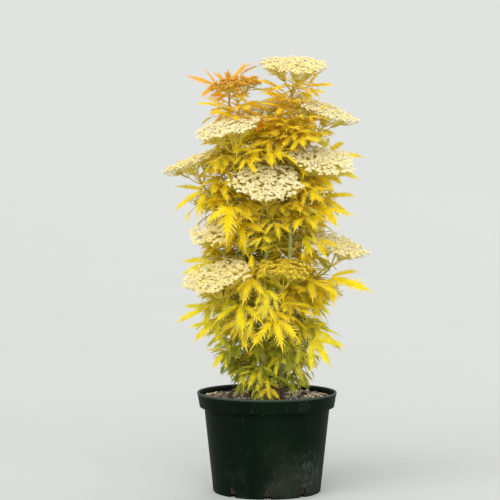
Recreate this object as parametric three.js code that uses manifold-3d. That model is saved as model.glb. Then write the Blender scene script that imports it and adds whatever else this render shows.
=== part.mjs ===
// A golden cut-leaved elder in a nursery container: a clump of seven upright canes, with side shoots
// that carry pinnate leaves and flat flower heads. Millimetres, +Z up. The origin is the middle of
// the container's flat underside, -Y is the front of the plant and +X its right-hand side.
import * as THREE from "three";
import { mergeVertices } from "three/addons/utils/BufferGeometryUtils.js";
import Module from "manifold-3d";

const wasm = await Module();
wasm.setup();

// Clearance between solids that touch on the real plant.
const GAP = 0.3;
// Slivers along the seams of fused leaves are taken out to this depth.
const SMOOTHING = 0.05;
// Points of a geometry closer than this are one point.
const MERGING = 1e-4;

// The container: a thin moulded pot with a deep collar round its rim.
const POT_HEIGHT = 200;
const RIM_RADIUS = 140;
const COLLAR_DEPTH = 30;
const COLLAR_FOOT_RADIUS = 135;
const SHOULDER_RADIUS = 126;
const FOOT_RADIUS = 108;
const WALL = 2.4;
const FLOOR = 4;
const EDGE = 1.2;
const POT_SIDES = 32;
const DRAIN_HOLES = 9;
const DRAIN_WIDTH = 15;
const DRAIN_TOP = 21;
const DRAIN_CUT_DEPTH = 30;
const DRAIN_ARCH_SIDES = 8;

// The growing medium, which ends a little under the rim. It is flat where the canes stand.
const SOIL_TOP = 186;
const SOIL_FLAT_RADIUS = 46;
const SOIL_RINGS = [102, 72];
const SOIL_BUMP = 2.6;

// Canes: the curve's foot and its bow are [x, y], its tip is [x, y, z].
const CANE_SIDES = 6;
const CANE_RINGS = 8;
const CANE_SUNK = 8;
const CANE_TIP_RADIUS = 2.8;
const CANE_FLARE = 0.35;
const CANE_FLARE_SHARE = 0.033;
const CANES = [
  { name: "cane_front", foot: [-4, -27], bow: [-11, -50], tip: [4, -50, 540], radius: 7 },
  { name: "cane_right_front", foot: [21, -15], bow: [48, -30], tip: [46, -16, 738], radius: 8.5 },
  { name: "cane_left", foot: [-25, -8], bow: [-60, -16], tip: [-56, -6, 712], radius: 8 },
  { name: "cane_right", foot: [25, 11], bow: [66, 14], tip: [74, 4, 690], radius: 7.5 },
  { name: "cane_back_right", foot: [8, 28], bow: [23, 57], tip: [30, 52, 690], radius: 8 },
  { name: "cane_back_left", foot: [-18, 20], bow: [-41, 48], tip: [-24, 40, 660], radius: 7.5 },
  { name: "cane_middle", foot: [0, 0], bow: [2, 2], tip: [-2, -4, 700], radius: 6.5 },
];

// Side shoots leave their cane outwards and bend to the direction of their end.
const SHOOT_RADIUS = 2.6;
const SHOOT_TIP_RADIUS = 2;
const SHOOT_SIDES = 4;
const LONG_SHOOT_RINGS = 3;
const SHORT_SHOOT_RINGS = 2;
const SHORT_SHOOT = 60;
const SHOOT_BEND = 0.35;
const SHOOT_LEAVE_OUT = 0.8;
const SHOOT_LEAVE_UP = 0.6;
const FIRST_SEED = 100;
// Shoots whose leaves are drawn anew: the number is added to their seed.
const DRAWN_ANEW = { leaves_back_left_3: 100, leaves_right_front_5: 100, leaves_right_front_6: 100 };

// Pinnate leaves: a three-sided stalk that arches over and widens into a blade cut into two pairs of
// lobes and an end lobe. Places are shares of the stalk's length, widths are shares of a lobe's length.
const STALK_LENGTH = 62;
const STALK_RADIUS = 1.5;
const STALK_TAPER = 0.3;
const BLADE_THICKNESS = 1.5;
const RING_PLACES = [0, 0.42];
const PAIR_PLACES = [0.56, 1];
const PAIR_ANGLES = [66, 50];
const PAIR_LENGTHS = [0.84, 0.96];
const LOBE_LENGTH = 66;
const END_LOBE_LENGTH = 1.175;
const LOBE_DROOP = 0.325;
const NOTCH_PLACE = 0.8;
const NOTCH_WIDTH = 0.13;
const END_NOTCH_PLACE = 0.24;
const END_NOTCH_WIDTH = 0.16;

// How a leaf stands, in degrees: its pitch low on the plant and at its top, and how far it falls.
const LEAF_PITCH_LOW = 2;
const LEAF_PITCH_HIGH = 34;
const LEAF_TOP_HEIGHT = 738;
const LEAF_FALL = 46;

// A lobe hangs no lower than leaves its rib this high above its underside: its tip is raised in steps.
const LEAST_CREST = 0.7;
const TIP_STEP = 1;
const MOST_STEPS = 60;

// Widths of the ranges in which leaves differ.
const PITCH_SPREAD = 22;
const FALL_SPREAD = 36;
const ROLL_SPREAD = 68;
const LENGTH_SPREAD = 0.3;
const END_LENGTH_SPREAD = 0.25;
const LOBE_ANGLE_SPREAD = 16;
const LOBE_DROOP_SPREAD = 0.35;
const SIZE_SPREAD = 0.2;
const HEADING_SPREAD = 24;

// A leaf with no room turns aside and points higher or lower, in degrees. Then its lobes that still
// have no room are cut to a short stump, and a leaf with fewer full lobes than this is left out.
const POSTURES = [[0, 0], [16, 9], [-16, -9], [32, -12], [-32, 12], [0, 26], [0, -24]];
const LOBES = 5;
const SHORT_LOBE = 0.4;
const LEAST_FULL_LOBES = 2;

// Flower heads: rays spread from the shoot's end to a shallow dome, in shares of the head's breadth.
const HEAD_RAYS = 5;
const HEAD_RAY_LENGTH = 0.34;
const HEAD_RAY_SPREAD = 0.3;
const HEAD_DOME = 0.11;
const HEAD_SIDES = 15;
const HEAD_LOBE = 0.08;
const HEAD_RAGGED = 0.07;
const HEAD_RAY_RADIUS = 1.4;
const HEAD_RAY_ROOT = 0.5;
const HEAD_RAY_SUNK = 4;
// Rows of the dome, as shares of its radius and of its height.
const HEAD_ROWS = [[0, 0], [1, 0], [0.7, 0.8], [0, 1]];

// Shoots that end in a flower head: the cane, the height at which the shoot leaves it (or its tip),
// the middle of the head, its breadth and its lean to the right and to the front in degrees. Each leaf
// is given by its heading and by how much higher than usual it points. One shoot ends in young leaves.
const FLOWER_SHOOTS = [
  {
    name: "flower_top_right", cane: 1, head: [52, -20, 846], breadth: 132, lean: [2, 17],
    leaves: [[-12, 8], [168, 8], [75, 8], [-100, 4]],
  },
  {
    name: "flower_top_left", cane: 2, head: [-58, -20, 806], breadth: 98, lean: [-4, 6],
    leaves: [[186, 10], [-70, 10], [25, 14]], size: 0.8, young: true,
  },
  {
    name: "young_shoot", cane: 2, node: 668, tip: [-76, 43, 794],
    leaves: [[30, 42], [176, 14], [100, 34], [205, 30]], size: 0.8, young: true,
  },
  {
    name: "flower_top_middle", cane: 6, head: [-12, 18, 770], breadth: 96, lean: [-8, 12],
    leaves: [[-100, 15], [150, 10], [15, 10]],
  },
  {
    name: "flower_upper_right", cane: 3, head: [122, -6, 752], breadth: 130, lean: [20, 14],
    leaves: [[-70, 0], [60, 0], [-150, 0]],
  },
  {
    name: "flower_front", cane: 0, head: [0, -98, 616], breadth: 138, lean: [2, 32],
    leaves: [[-160, 0], [-20, 0], [80, 10]],
  },
  {
    name: "flower_top_back_right", cane: 4, head: [48, 96, 762], breadth: 124, lean: [8, -22],
    leaves: [[20, 5], [120, 0], [-50, 15]],
  },
  {
    name: "flower_top_back_left", cane: 5, head: [-50, 102, 716], breadth: 120, lean: [-12, -20],
    leaves: [[110, 0], [-172, 12], [60, 5]],
  },
  {
    name: "flower_upper_left", cane: 2, node: 640, head: [-76, -82, 722], breadth: 132, lean: [-14, 16],
    leaves: [[-160, 5], [-30, 0]],
  },
  {
    name: "flower_left", cane: 2, node: 560, head: [-146, -14, 658], breadth: 124, lean: [-22, 6],
    leaves: [[-172, -12], [120, 0]],
  },
  {
    name: "flower_right", cane: 3, node: 570, head: [107, -56, 658], breadth: 138, lean: [10, 24],
    leaves: [[-12, -8], [14, 12]],
  },
  {
    name: "flower_middle_left", cane: 2, node: 456, head: [-112, -52, 520], breadth: 110, lean: [-18, 28],
    leaves: [[-158, -4], [150, 0]],
  },
  {
    name: "flower_middle_right", cane: 3, node: 410, head: [142, -22, 494], breadth: 120, lean: [22, 8],
    leaves: [[-10, -6], [50, 0]],
  },
  {
    name: "flower_lower_left", cane: 2, node: 330, head: [-100, -92, 434], breadth: 142, lean: [-14, 24],
    leaves: [[-170, 6], [-60, 0]],
  },
  {
    name: "flower_lower_front", cane: 0, node: 360, head: [34, -104, 452], breadth: 106, lean: [4, 8],
    leaves: [[-130, -10], [-40, -10]],
  },
  {
    name: "flower_back_right", cane: 4, node: 520, head: [82, 106, 650], breadth: 130, lean: [14, -22],
    leaves: [[20, 0], [110, 0]],
  },
  {
    name: "flower_back_left", cane: 5, node: 500, head: [-92, 104, 590], breadth: 134, lean: [-16, -20],
    leaves: [[160, 0], [80, 0]],
  },
  {
    name: "flower_back", cane: 4, node: 410, head: [16, 138, 500], breadth: 126, lean: [2, -26],
    leaves: [[50, 0], [130, 0]],
  },
  {
    name: "flower_lower_back", cane: 4, node: 320, head: [98, 96, 404], breadth: 120, lean: [16, -18],
    leaves: [[0, 0], [75, 0]],
  },
];
const FLOWER_LEAF_FIRST = 0.3;
const FLOWER_LEAF_STEP = 0.18;

// Leafy shoots stand round the clump in one rising spiral, each on the cane nearest to it.
const LEAFY_COUNT = 32;
const LEAFY_FOOT = 222;
const LEAFY_TOP = 696;
const LEAFY_START = -110;
const GOLDEN_ANGLE = 137.508;
const LEAFY_REACH = 12;
const LEAFY_RISE = 30;
const LEAFY_ARRIVE_OUT = 0.5;
const LEAFY_ARRIVE_UP = 0.85;
const LEAFY_HEADROOM = 20;
const LEAFY_TURNS = [6, -56, 64, -104, 112, 30];
const LEAFY_LEAF_FIRST = 1;
const LEAFY_LEAF_STEP = -0.12;
// Their leaves are small at the foot, full-sized from one height and smaller again from another.
const LEAFY_LOW_SIZE = 0.7;
const LEAFY_FULL_HEIGHT = 330;
const LEAFY_NARROWING = 560;
const LEAFY_TOP_SIZE = 0.8;

const COLOURS = { pot: 0x16201a, soil: 0x4a3427, cane: 0x8a8f5a, foliage: 0xe6c21e, young: 0xe08a24 };
const ROUGHNESS = { pot: 0.5, soil: 0.95, cane: 0.8, foliage: 0.6, young: 0.6 };

const UP = new THREE.Vector3(0, 0, 1);
const { degToRad: radians, lerp, mapLinear } = THREE.MathUtils;
const at = (x, y, z) => new THREE.Vector3(x, y, z);
const compass = (heading) => at(Math.cos(heading), Math.sin(heading), 0);
const along = (from, direction, distance) => from.clone().addScaledVector(direction, distance);
const taper = (foot, tip) => (share) => lerp(foot, tip, share);

// A repeatable stream of numbers from 0 to 1.
function seededRandom(seed) {
  let state = seed >>> 0;
  return () => {
    state = (state + 0x6d2b79f5) >>> 0;
    let mixed = Math.imul(state ^ (state >>> 15), state | 1);
    mixed ^= mixed + Math.imul(mixed ^ (mixed >>> 7), mixed | 61);
    return ((mixed ^ (mixed >>> 14)) >>> 0) / 2 ** 32;
  };
}

// The next number of a stream, in a range given by its middle and its width.
function vary(random, middle, width) {
  return middle + width * (random() - 0.5);
}

// A closed three.js geometry as a solid.
function solidOf(geometry) {
  const bare = new THREE.BufferGeometry();
  bare.setAttribute("position", geometry.getAttribute("position"));
  bare.setIndex(geometry.getIndex());
  const merged = mergeVertices(bare, MERGING);
  return new wasm.Manifold(
    new wasm.Mesh({
      numProp: 3,
      vertProperties: new Float32Array(merged.getAttribute("position").array),
      triVerts: new Uint32Array(merged.getIndex().array),
    }),
  );
}

// A solid as a three.js geometry.
function geometryOf(solid) {
  const mesh = solid.getMesh();
  const geometry = new THREE.BufferGeometry();
  geometry.setAttribute("position", new THREE.BufferAttribute(mesh.vertProperties.slice(), 3));
  geometry.setIndex(new THREE.BufferAttribute(mesh.triVerts.slice(), 1));
  geometry.computeVertexNormals();
  return geometry;
}

// The largest piece of a solid, without loose scraps.
function mainPiece(solid) {
  return solid.decompose().sort((a, b) => b.volume() - a.volume())[0];
}

// A body turned about the Z axis. The profile holds [radius, height].
function turned(profile, sides) {
  const points = profile.map(([radius, height]) => new THREE.Vector2(radius, height));
  return new THREE.LatheGeometry(points, sides).rotateX(Math.PI / 2);
}

// A limb on a curve: a cylinder whose rings are moved onto it, with radiusAt(share) at each.
function limb(curve, radiusAt, sides, rings) {
  const geometry = new THREE.CylinderGeometry(1, 1, 1, sides, rings);
  const frames = curve.computeFrenetFrames(rings);
  const position = geometry.getAttribute("position");
  for (let i = 0; i < position.count; i += 1) {
    const ring = Math.round((position.getY(i) + 0.5) * rings);
    const radius = radiusAt(ring / rings);
    const point = curve.getPointAt(ring / rings);
    point.addScaledVector(frames.normals[ring], position.getX(i) * radius);
    point.addScaledVector(frames.binormals[ring], -position.getZ(i) * radius);
    position.setXYZ(i, point.x, point.y, point.z);
  }
  return solidOf(geometry);
}

// A drain hole's cutter: an arch on a slot, across the front of the container's foot.
function drainCutter() {
  const radius = DRAIN_WIDTH / 2;
  const springing = DRAIN_TOP - radius;
  const arch = new THREE.CylinderGeometry(radius, radius, DRAIN_CUT_DEPTH, DRAIN_ARCH_SIDES);
  const slot = new THREE.BoxGeometry(DRAIN_WIDTH, DRAIN_CUT_DEPTH, DRAIN_TOP);
  arch.rotateY(Math.PI / DRAIN_ARCH_SIDES).translate(0, -FOOT_RADIUS, springing);
  slot.translate(0, -FOOT_RADIUS, springing - DRAIN_TOP / 2);
  return solidOf(arch).add(solidOf(slot));
}

// The container, with its drain holes cut through the wall and the edge of the floor.
function potSolid() {
  const ledge = POT_HEIGHT - COLLAR_DEPTH;
  const body = turned(
    [
      [0, 0],
      [FOOT_RADIUS - EDGE, 0],
      [FOOT_RADIUS, EDGE],
      [SHOULDER_RADIUS, ledge],
      [COLLAR_FOOT_RADIUS - EDGE, ledge],
      [COLLAR_FOOT_RADIUS, ledge + EDGE],
      [RIM_RADIUS, POT_HEIGHT - EDGE],
      [RIM_RADIUS - EDGE, POT_HEIGHT],
      [RIM_RADIUS - EDGE - WALL, POT_HEIGHT],
      [COLLAR_FOOT_RADIUS - WALL, ledge + WALL],
      [SHOULDER_RADIUS - WALL, ledge + WALL],
      [FOOT_RADIUS - WALL, FLOOR],
      [0, FLOOR],
    ],
    POT_SIDES,
  );
  const cutter = drainCutter();
  let pot = solidOf(body);
  for (let i = 0; i < DRAIN_HOLES; i += 1) {
    pot = pot.subtract(cutter.rotate([0, 0, (360 * i) / DRAIN_HOLES]));
  }
  return pot;
}

// Low lumps over the growing medium, outside its flat middle.
function soilLump(x, y) {
  if (Math.hypot(x, y) < SOIL_FLAT_RADIUS + 1) return 0;
  const broad = Math.sin(0.12 * x + 1) * Math.cos(0.15 * y);
  const fine = Math.sin(0.3 * x + 0.26 * y);
  return SOIL_BUMP * (0.6 * broad + 0.4 * fine);
}

function soilSolid() {
  const ledge = POT_HEIGHT - COLLAR_DEPTH + WALL + GAP;
  const inset = WALL + 2 * GAP;
  const body = turned(
    [
      [0, FLOOR + GAP],
      [FOOT_RADIUS - inset, FLOOR + GAP],
      [SHOULDER_RADIUS - inset, ledge],
      [COLLAR_FOOT_RADIUS - inset, ledge],
      [COLLAR_FOOT_RADIUS - inset, SOIL_TOP],
      ...SOIL_RINGS.map((radius) => [radius, SOIL_TOP]),
      [SOIL_FLAT_RADIUS, SOIL_TOP],
      [0, SOIL_TOP],
    ],
    POT_SIDES,
  );
  const position = body.getAttribute("position");
  for (let i = 0; i < position.count; i += 1) {
    if (position.getZ(i) < SOIL_TOP - GAP) continue;
    position.setZ(i, SOIL_TOP + soilLump(position.getX(i), position.getY(i)));
  }
  return solidOf(body);
}

// The centre line of a cane, from just under the soil up to its tip.
function caneCurve({ foot, bow, tip }) {
  const low = SOIL_TOP - CANE_SUNK;
  return new THREE.CubicBezierCurve3(
    at(...foot, low),
    at(...bow, lerp(low, tip[2], 1 / 3)),
    at(...bow, lerp(low, tip[2], 2 / 3)),
    at(...tip),
  );
}

// A cane, cut flat at the soil. Extra widens it all over.
function caneSolid(cane, extra = 0) {
  const radiusAt = (share) => {
    const flare = 1 + CANE_FLARE * Math.exp(-share / CANE_FLARE_SHARE);
    return lerp(cane.radius, CANE_TIP_RADIUS, share) * flare + extra;
  };
  const whole = limb(caneCurve(cane), radiusAt, CANE_SIDES, CANE_RINGS);
  return whole.trimByPlane([0, 0, 1], SOIL_TOP + GAP - extra);
}

// The point of a cane's centre line at a height.
function canePoint(cane, height) {
  const curve = caneCurve(cane);
  let low = 0;
  let high = 1;
  for (let i = 0; i < 24; i += 1) {
    const middle = (low + high) / 2;
    if (curve.getPoint(middle).z < height) low = middle;
    else high = middle;
  }
  return curve.getPoint(low);
}

// One pinnate leaf, worked out as points: its stalk is an arc that falls from its first pitch. Lobes
// stand in pairs on it, with notches between them, and one more ends it.
function pinnateLeaf(root, heading, size, pitchDegrees, random) {
  const pitch = radians(vary(random, pitchDegrees, PITCH_SPREAD));
  const fall = radians(vary(random, LEAF_FALL, FALL_SPREAD));
  const roll = radians(vary(random, 0, ROLL_SPREAD));
  const length = STALK_LENGTH * size * vary(random, 1, LENGTH_SPREAD);
  const ahead = compass(heading);
  const levelSide = ahead.clone().cross(UP);
  const point = (share) => {
    const now = pitch - fall * share;
    const out = (Math.sin(pitch) - Math.sin(now)) / fall;
    const rise = (Math.cos(now) - Math.cos(pitch)) / fall;
    return along(along(root, ahead, length * out), UP, length * rise);
  };
  const frame = (share) => {
    const now = pitch - fall * share;
    const forward = ahead.clone().multiplyScalar(Math.cos(now)).addScaledVector(UP, Math.sin(now));
    const side = levelSide.clone().applyAxisAngle(forward, roll);
    return { forward, side, top: side.clone().cross(forward) };
  };
  const lobe = (share, turn, blade) => {
    const { forward, side } = frame(share);
    const direction = forward.multiplyScalar(Math.cos(turn)).addScaledVector(side, Math.sin(turn));
    direction.addScaledVector(UP, -vary(random, LOBE_DROOP, LOBE_DROOP_SPREAD));
    return direction.setLength(blade);
  };
  const pairs = PAIR_PLACES.map((share, pair) =>
    [-1, 1].map((hand) => {
      const turn = hand * radians(vary(random, PAIR_ANGLES[pair], LOBE_ANGLE_SPREAD));
      const blade = LOBE_LENGTH * size * PAIR_LENGTHS[pair];
      return lobe(share, turn, blade * vary(random, 1, LENGTH_SPREAD));
    }),
  );
  const end = lobe(1, 0, LOBE_LENGTH * size * vary(random, END_LOBE_LENGTH, END_LENGTH_SPREAD));
  return { size, point, frame, pairs, end };
}

// A lobe's tip, raised until its rib stands high enough above the plane of its underside.
function raisedTip(tip, top, rib, corners) {
  const raised = tip.clone();
  for (let step = 0; step < MOST_STEPS; step += 1) {
    const underside = new THREE.Plane().setFromCoplanarPoints(...corners, raised);
    const height = underside.distanceToPoint(rib) * Math.sign(underside.normal.dot(top));
    if (height >= LEAST_CREST) break;
    raised.addScaledVector(top, TIP_STEP);
  }
  return raised;
}

// A leaf as one closed body. Its reach holds each lobe's length as a share of the full length, in the
// order of the pairs, left before right, and then the end lobe.
function leafSolid(leaf, reach) {
  const points = [];
  const index = [];
  const add = (point) => points.push(point) - 1;
  const rings = RING_PLACES.map((share) => {
    const { side, top } = leaf.frame(share);
    const radius = STALK_RADIUS * (1 - STALK_TAPER * share);
    return [90, -30, 210].map(radians).map((turn) => {
      const across = along(leaf.point(share), side, radius * Math.cos(turn));
      return add(along(across, top, radius * Math.sin(turn)));
    });
  });
  const [root, neck] = rings;
  index.push(root[0], root[2], root[1]);
  for (let i = 0; i < 3; i += 1) {
    const next = (i + 1) % 3;
    index.push(root[i], root[next], neck[i], root[next], neck[next], neck[i]);
  }
  const [crest, right, left] = neck;
  const ribs = PAIR_PLACES.map((share) => {
    return add(along(leaf.point(share), leaf.frame(share).top, BLADE_THICKNESS));
  });
  const endTip = add(along(leaf.point(1), leaf.end, reach[2 * PAIR_PLACES.length]));
  const notchAfter = (pair, hand) => {
    const last = pair === PAIR_PLACES.length - 1;
    const middle = last ? along(leaf.point(1), leaf.end, END_NOTCH_PLACE) : leaf.point(NOTCH_PLACE);
    const width = hand * (last ? END_NOTCH_WIDTH : NOTCH_WIDTH) * LOBE_LENGTH * leaf.size;
    return add(along(middle, leaf.frame(last ? 1 : NOTCH_PLACE).side, width));
  };
  const [leftEdge, rightEdge] = [-1, 1].map((hand) => {
    const upper = (a, b, c) => index.push(...(hand > 0 ? [a, b, c] : [a, c, b]));
    const lower = (a, b, c) => index.push(...(hand > 0 ? [a, c, b] : [a, b, c]));
    const edge = [hand > 0 ? right : left];
    upper(crest, edge[0], ribs[0]);
    ribs.forEach((rib, pair) => {
      const row = hand > 0 ? 1 : 0;
      const lobe = leaf.pairs[pair][row];
      const notch = notchAfter(pair, hand);
      const hanging = along(leaf.point(PAIR_PLACES[pair]), lobe, reach[2 * pair + row]);
      const { top } = leaf.frame(PAIR_PLACES[pair]);
      const tip = add(raisedTip(hanging, top, points[rib], [points[edge[pair]], points[notch]]));
      upper(edge[pair], tip, rib);
      upper(tip, notch, rib);
      upper(notch, ribs[pair + 1] ?? endTip, rib);
      lower(edge[pair], tip, notch);
      edge.push(notch);
    });
    return edge;
  });
  // The underside is flat across, from one edge to the other.
  ribs.forEach((_, pair) => {
    index.push(rightEdge[pair], leftEdge[pair + 1], rightEdge[pair + 1]);
    index.push(rightEdge[pair], leftEdge[pair], leftEdge[pair + 1]);
  });
  index.push(rightEdge.at(-1), leftEdge.at(-1), endTip);
  return solidOf(new THREE.BufferGeometry().setFromPoints(points).setIndex(index));
}

// A flower head as lines: its middle, the direction it faces, and the hub where its rays start.
function flowerHead({ head, breadth, lean }, turn) {
  const [right, front] = lean.map(radians);
  const normal = at(Math.tan(right), -Math.tan(front), 1).normalize();
  const centre = at(...head);
  return { centre, normal, breadth, turn, hub: along(centre, normal, -HEAD_RAY_LENGTH * breadth) };
}

// A flower head: a shallow ragged dome with five lobes, on rays that spread from its hub.
function headSolid({ centre, normal, breadth, turn, hub }) {
  const dome = turned(
    HEAD_ROWS.map(([out, up]) => [(out * breadth) / 2, up * HEAD_DOME * breadth]),
    HEAD_SIDES,
  );
  const position = dome.getAttribute("position");
  for (let i = 0; i < position.count; i += 1) {
    const angle = Math.atan2(position.getY(i), position.getX(i));
    const ragged = Math.sin(7 * angle + turn) * Math.cos(4 * angle - turn);
    const swell = 1 + HEAD_LOBE * Math.cos(HEAD_RAYS * angle) + HEAD_RAGGED * ragged;
    position.setXY(i, position.getX(i) * swell, position.getY(i) * swell);
  }
  const facing = new THREE.Quaternion().setFromUnitVectors(UP, normal);
  dome.rotateZ(turn).applyQuaternion(facing).translate(...centre);
  const pieces = [solidOf(dome)];
  const start = along(hub, normal, -HEAD_RAY_SUNK);
  for (let i = 0; i < HEAD_RAYS; i += 1) {
    const out = compass((2 * Math.PI * i) / HEAD_RAYS + turn).applyQuaternion(facing);
    const ray = new THREE.LineCurve3(start, along(centre, out, HEAD_RAY_SPREAD * breadth));
    pieces.push(limb(ray, taper(HEAD_RAY_ROOT, HEAD_RAY_RADIUS), 3, 1));
  }
  return wasm.Manifold.union(pieces);
}

// Leaves point further up near the top and hang lower down.
function leafPitch(height) {
  return mapLinear(height, SOIL_TOP, LEAF_TOP_HEIGHT, LEAF_PITCH_LOW, LEAF_PITCH_HIGH);
}

// A side shoot as lines: the curve of its stem, its flower head, and each leaf in every posture.
function shootLines(shoot, seed) {
  const random = seededRandom(seed);
  const cane = CANES[shoot.cane];
  const onTip = shoot.node === undefined;
  const start = onTip ? at(...cane.tip) : canePoint(cane, shoot.node);
  const head = shoot.head ? flowerHead(shoot, 2 * Math.PI * random()) : null;
  const end = head ? head.hub : at(...shoot.tip);
  const arrive = head ? head.normal : shoot.arrive ?? UP;
  const bend = SHOOT_BEND * start.distanceTo(end);
  const outward = end.clone().sub(start).setZ(0).normalize();
  const leave = onTip
    ? caneCurve(cane).getTangent(1)
    : outward.multiplyScalar(SHOOT_LEAVE_OUT).addScaledVector(UP, SHOOT_LEAVE_UP);
  if (onTip) start.addScaledVector(leave, GAP);
  const [bendFoot, bendEnd] = [along(start, leave, bend), along(end, arrive, -bend)];
  const stem = new THREE.CubicBezierCurve3(start, bendFoot, bendEnd, end);
  const flowering = [FLOWER_LEAF_FIRST, FLOWER_LEAF_STEP];
  const [first, step] = head ? flowering : [LEAFY_LEAF_FIRST, LEAFY_LEAF_STEP];
  const leaves = shoot.leaves.map(([turn, lift], i) => {
    const root = stem.getPoint(first + step * i);
    const size = (shoot.size ?? 1) * vary(random, 1, SIZE_SPREAD);
    const heading = vary(random, turn, HEADING_SPREAD);
    const leafSeed = Math.floor(1e6 * random());
    return POSTURES.map(([aside, higher]) => {
      const pitch = leafPitch(root.z) + lift + higher;
      return pinnateLeaf(root, radians(heading + aside), size, pitch, seededRandom(leafSeed));
    });
  });
  return { stem, head, leaves };
}

// The leafy shoots of the spiral, each named after its cane.
function leafyShoots() {
  const counts = CANES.map(() => 0);
  return Array.from({ length: LEAFY_COUNT }, (_, step) => {
    const node = lerp(LEAFY_FOOT, LEAFY_TOP, step / (LEAFY_COUNT - 1));
    const heading = LEAFY_START + GOLDEN_ANGLE * step;
    const outward = compass(radians(heading));
    const facing = CANES.map((cane) => canePoint(cane, node).setZ(0).normalize().dot(outward));
    const standing = CANES.map((cane, i) => {
      const tall = cane.tip[2] > node + LEAFY_HEADROOM && cane.name !== "cane_middle";
      return tall ? facing[i] : -Infinity;
    });
    const index = standing.indexOf(Math.max(...standing));
    const cane = CANES[index];
    counts[index] += 1;
    const low = Math.min(node, LEAFY_FULL_HEIGHT);
    const high = Math.max(node, LEAFY_NARROWING);
    const lowSize = mapLinear(low, LEAFY_FOOT, LEAFY_FULL_HEIGHT, LEAFY_LOW_SIZE, 1);
    const highSize = mapLinear(high, LEAFY_NARROWING, LEAFY_TOP, 1, LEAFY_TOP_SIZE);
    return {
      name: `${cane.name.replace("cane", "leaves")}_${counts[index]}`,
      cane: index,
      node,
      tip: along(canePoint(cane, node), outward, LEAFY_REACH).addScaledVector(UP, LEAFY_RISE),
      arrive: outward.clone().multiplyScalar(LEAFY_ARRIVE_OUT).addScaledVector(UP, LEAFY_ARRIVE_UP),
      size: lowSize * highSize,
      leaves: LEAFY_TURNS.map((turn) => [heading + turn, 0]),
    };
  });
}

// Everything placed so far. A leaf may touch only what joins it: its own shoot's stem.
const placed = [];

function place(solid, joins) {
  placed.push({ joins, solid, box: solid.boundingBox() });
}

function isClear(solid, shootName) {
  const box = solid.boundingBox();
  return placed.every((other) => {
    if (other.joins === shootName) return true;
    const apart = [0, 1, 2].some(
      (axis) => box.min[axis] > other.box.max[axis] + GAP || other.box.min[axis] > box.max[axis] + GAP,
    );
    return apart || solid.minGap(other.solid, GAP) >= GAP;
  });
}

// A shoot's stem. One on the side of a cane is cut clear of the cane's surface.
function stemSolid(shoot, stem) {
  const rings = stem.getLength() < SHORT_SHOOT ? SHORT_SHOOT_RINGS : LONG_SHOOT_RINGS;
  const whole = limb(stem, taper(SHOOT_RADIUS, SHOOT_TIP_RADIUS), SHOOT_SIDES, rings);
  if (shoot.node === undefined) return whole;
  const clearance = GAP / Math.cos(Math.PI / CANE_SIDES);
  return mainPiece(whole.subtract(caneSolid(CANES[shoot.cane], clearance)));
}

// A leaf in the first posture that has room: whole, or with some lobes cut short, or else null.
function fittedLeaf(shootName, postures) {
  const lobes = Array.from({ length: LOBES }, (_, lobe) => lobe);
  for (const leaf of postures) {
    const whole = leafSolid(leaf, lobes.map(() => 1));
    if (isClear(whole, shootName)) return whole;
  }
  for (const leaf of postures) {
    const reach = lobes.map((lobe) => {
      const alone = leafSolid(leaf, lobes.map((other) => (other === lobe ? 1 : SHORT_LOBE)));
      return isClear(alone, shootName) ? 1 : SHORT_LOBE;
    });
    if (reach.filter((share) => share === 1).length < LEAST_FULL_LOBES) continue;
    const cut = leafSolid(leaf, reach);
    if (isClear(cut, shootName)) return cut;
  }
  return null;
}

function meshOf(name, solid, look) {
  const material = new THREE.MeshStandardMaterial({
    color: COLOURS[look],
    roughness: ROUGHNESS[look],
    metalness: 0,
  });
  const mesh = new THREE.Mesh(geometryOf(solid), material);
  mesh.name = name;
  return mesh;
}

function container() {
  const group = new THREE.Group();
  for (const [name, solid] of Object.entries({ pot: potSolid(), soil: soilSolid() })) {
    place(solid, null);
    group.add(meshOf(name, solid, name));
  }
  return group;
}

function canes() {
  const group = new THREE.Group();
  for (const cane of CANES) {
    const solid = caneSolid(cane);
    place(solid, null);
    group.add(meshOf(cane.name, solid, "cane"));
  }
  return group;
}

// All stems and flower heads are placed before the first leaf, so that leaves give way to them.
function shoots() {
  const group = new THREE.Group();
  const bare = [...FLOWER_SHOOTS, ...leafyShoots()].map((shoot, i) => {
    const seed = FIRST_SEED + i + (DRAWN_ANEW[shoot.name] ?? 0);
    const { stem, head, leaves } = shootLines(shoot, seed);
    const pieces = [stemSolid(shoot, stem)];
    place(pieces[0], shoot.name);
    if (head) {
      pieces.push(headSolid(head));
      place(pieces[1], null);
    }
    return { shoot, pieces, leaves };
  });
  for (const { shoot, pieces, leaves } of bare) {
    for (const postures of leaves) {
      const leaf = fittedLeaf(shoot.name, postures);
      if (!leaf) continue;
      place(leaf, null);
      pieces.push(leaf);
    }
    const mass = mainPiece(wasm.Manifold.union(pieces).asOriginal().simplify(SMOOTHING));
    group.add(meshOf(shoot.name, mass, shoot.young ? "young" : "foliage"));
  }
  return group;
}

const plant = new THREE.Group();
plant.name = "potted_elder";
plant.add(container());
plant.add(canes());
plant.add(shoots());

export default plant;
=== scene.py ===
import math

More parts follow.
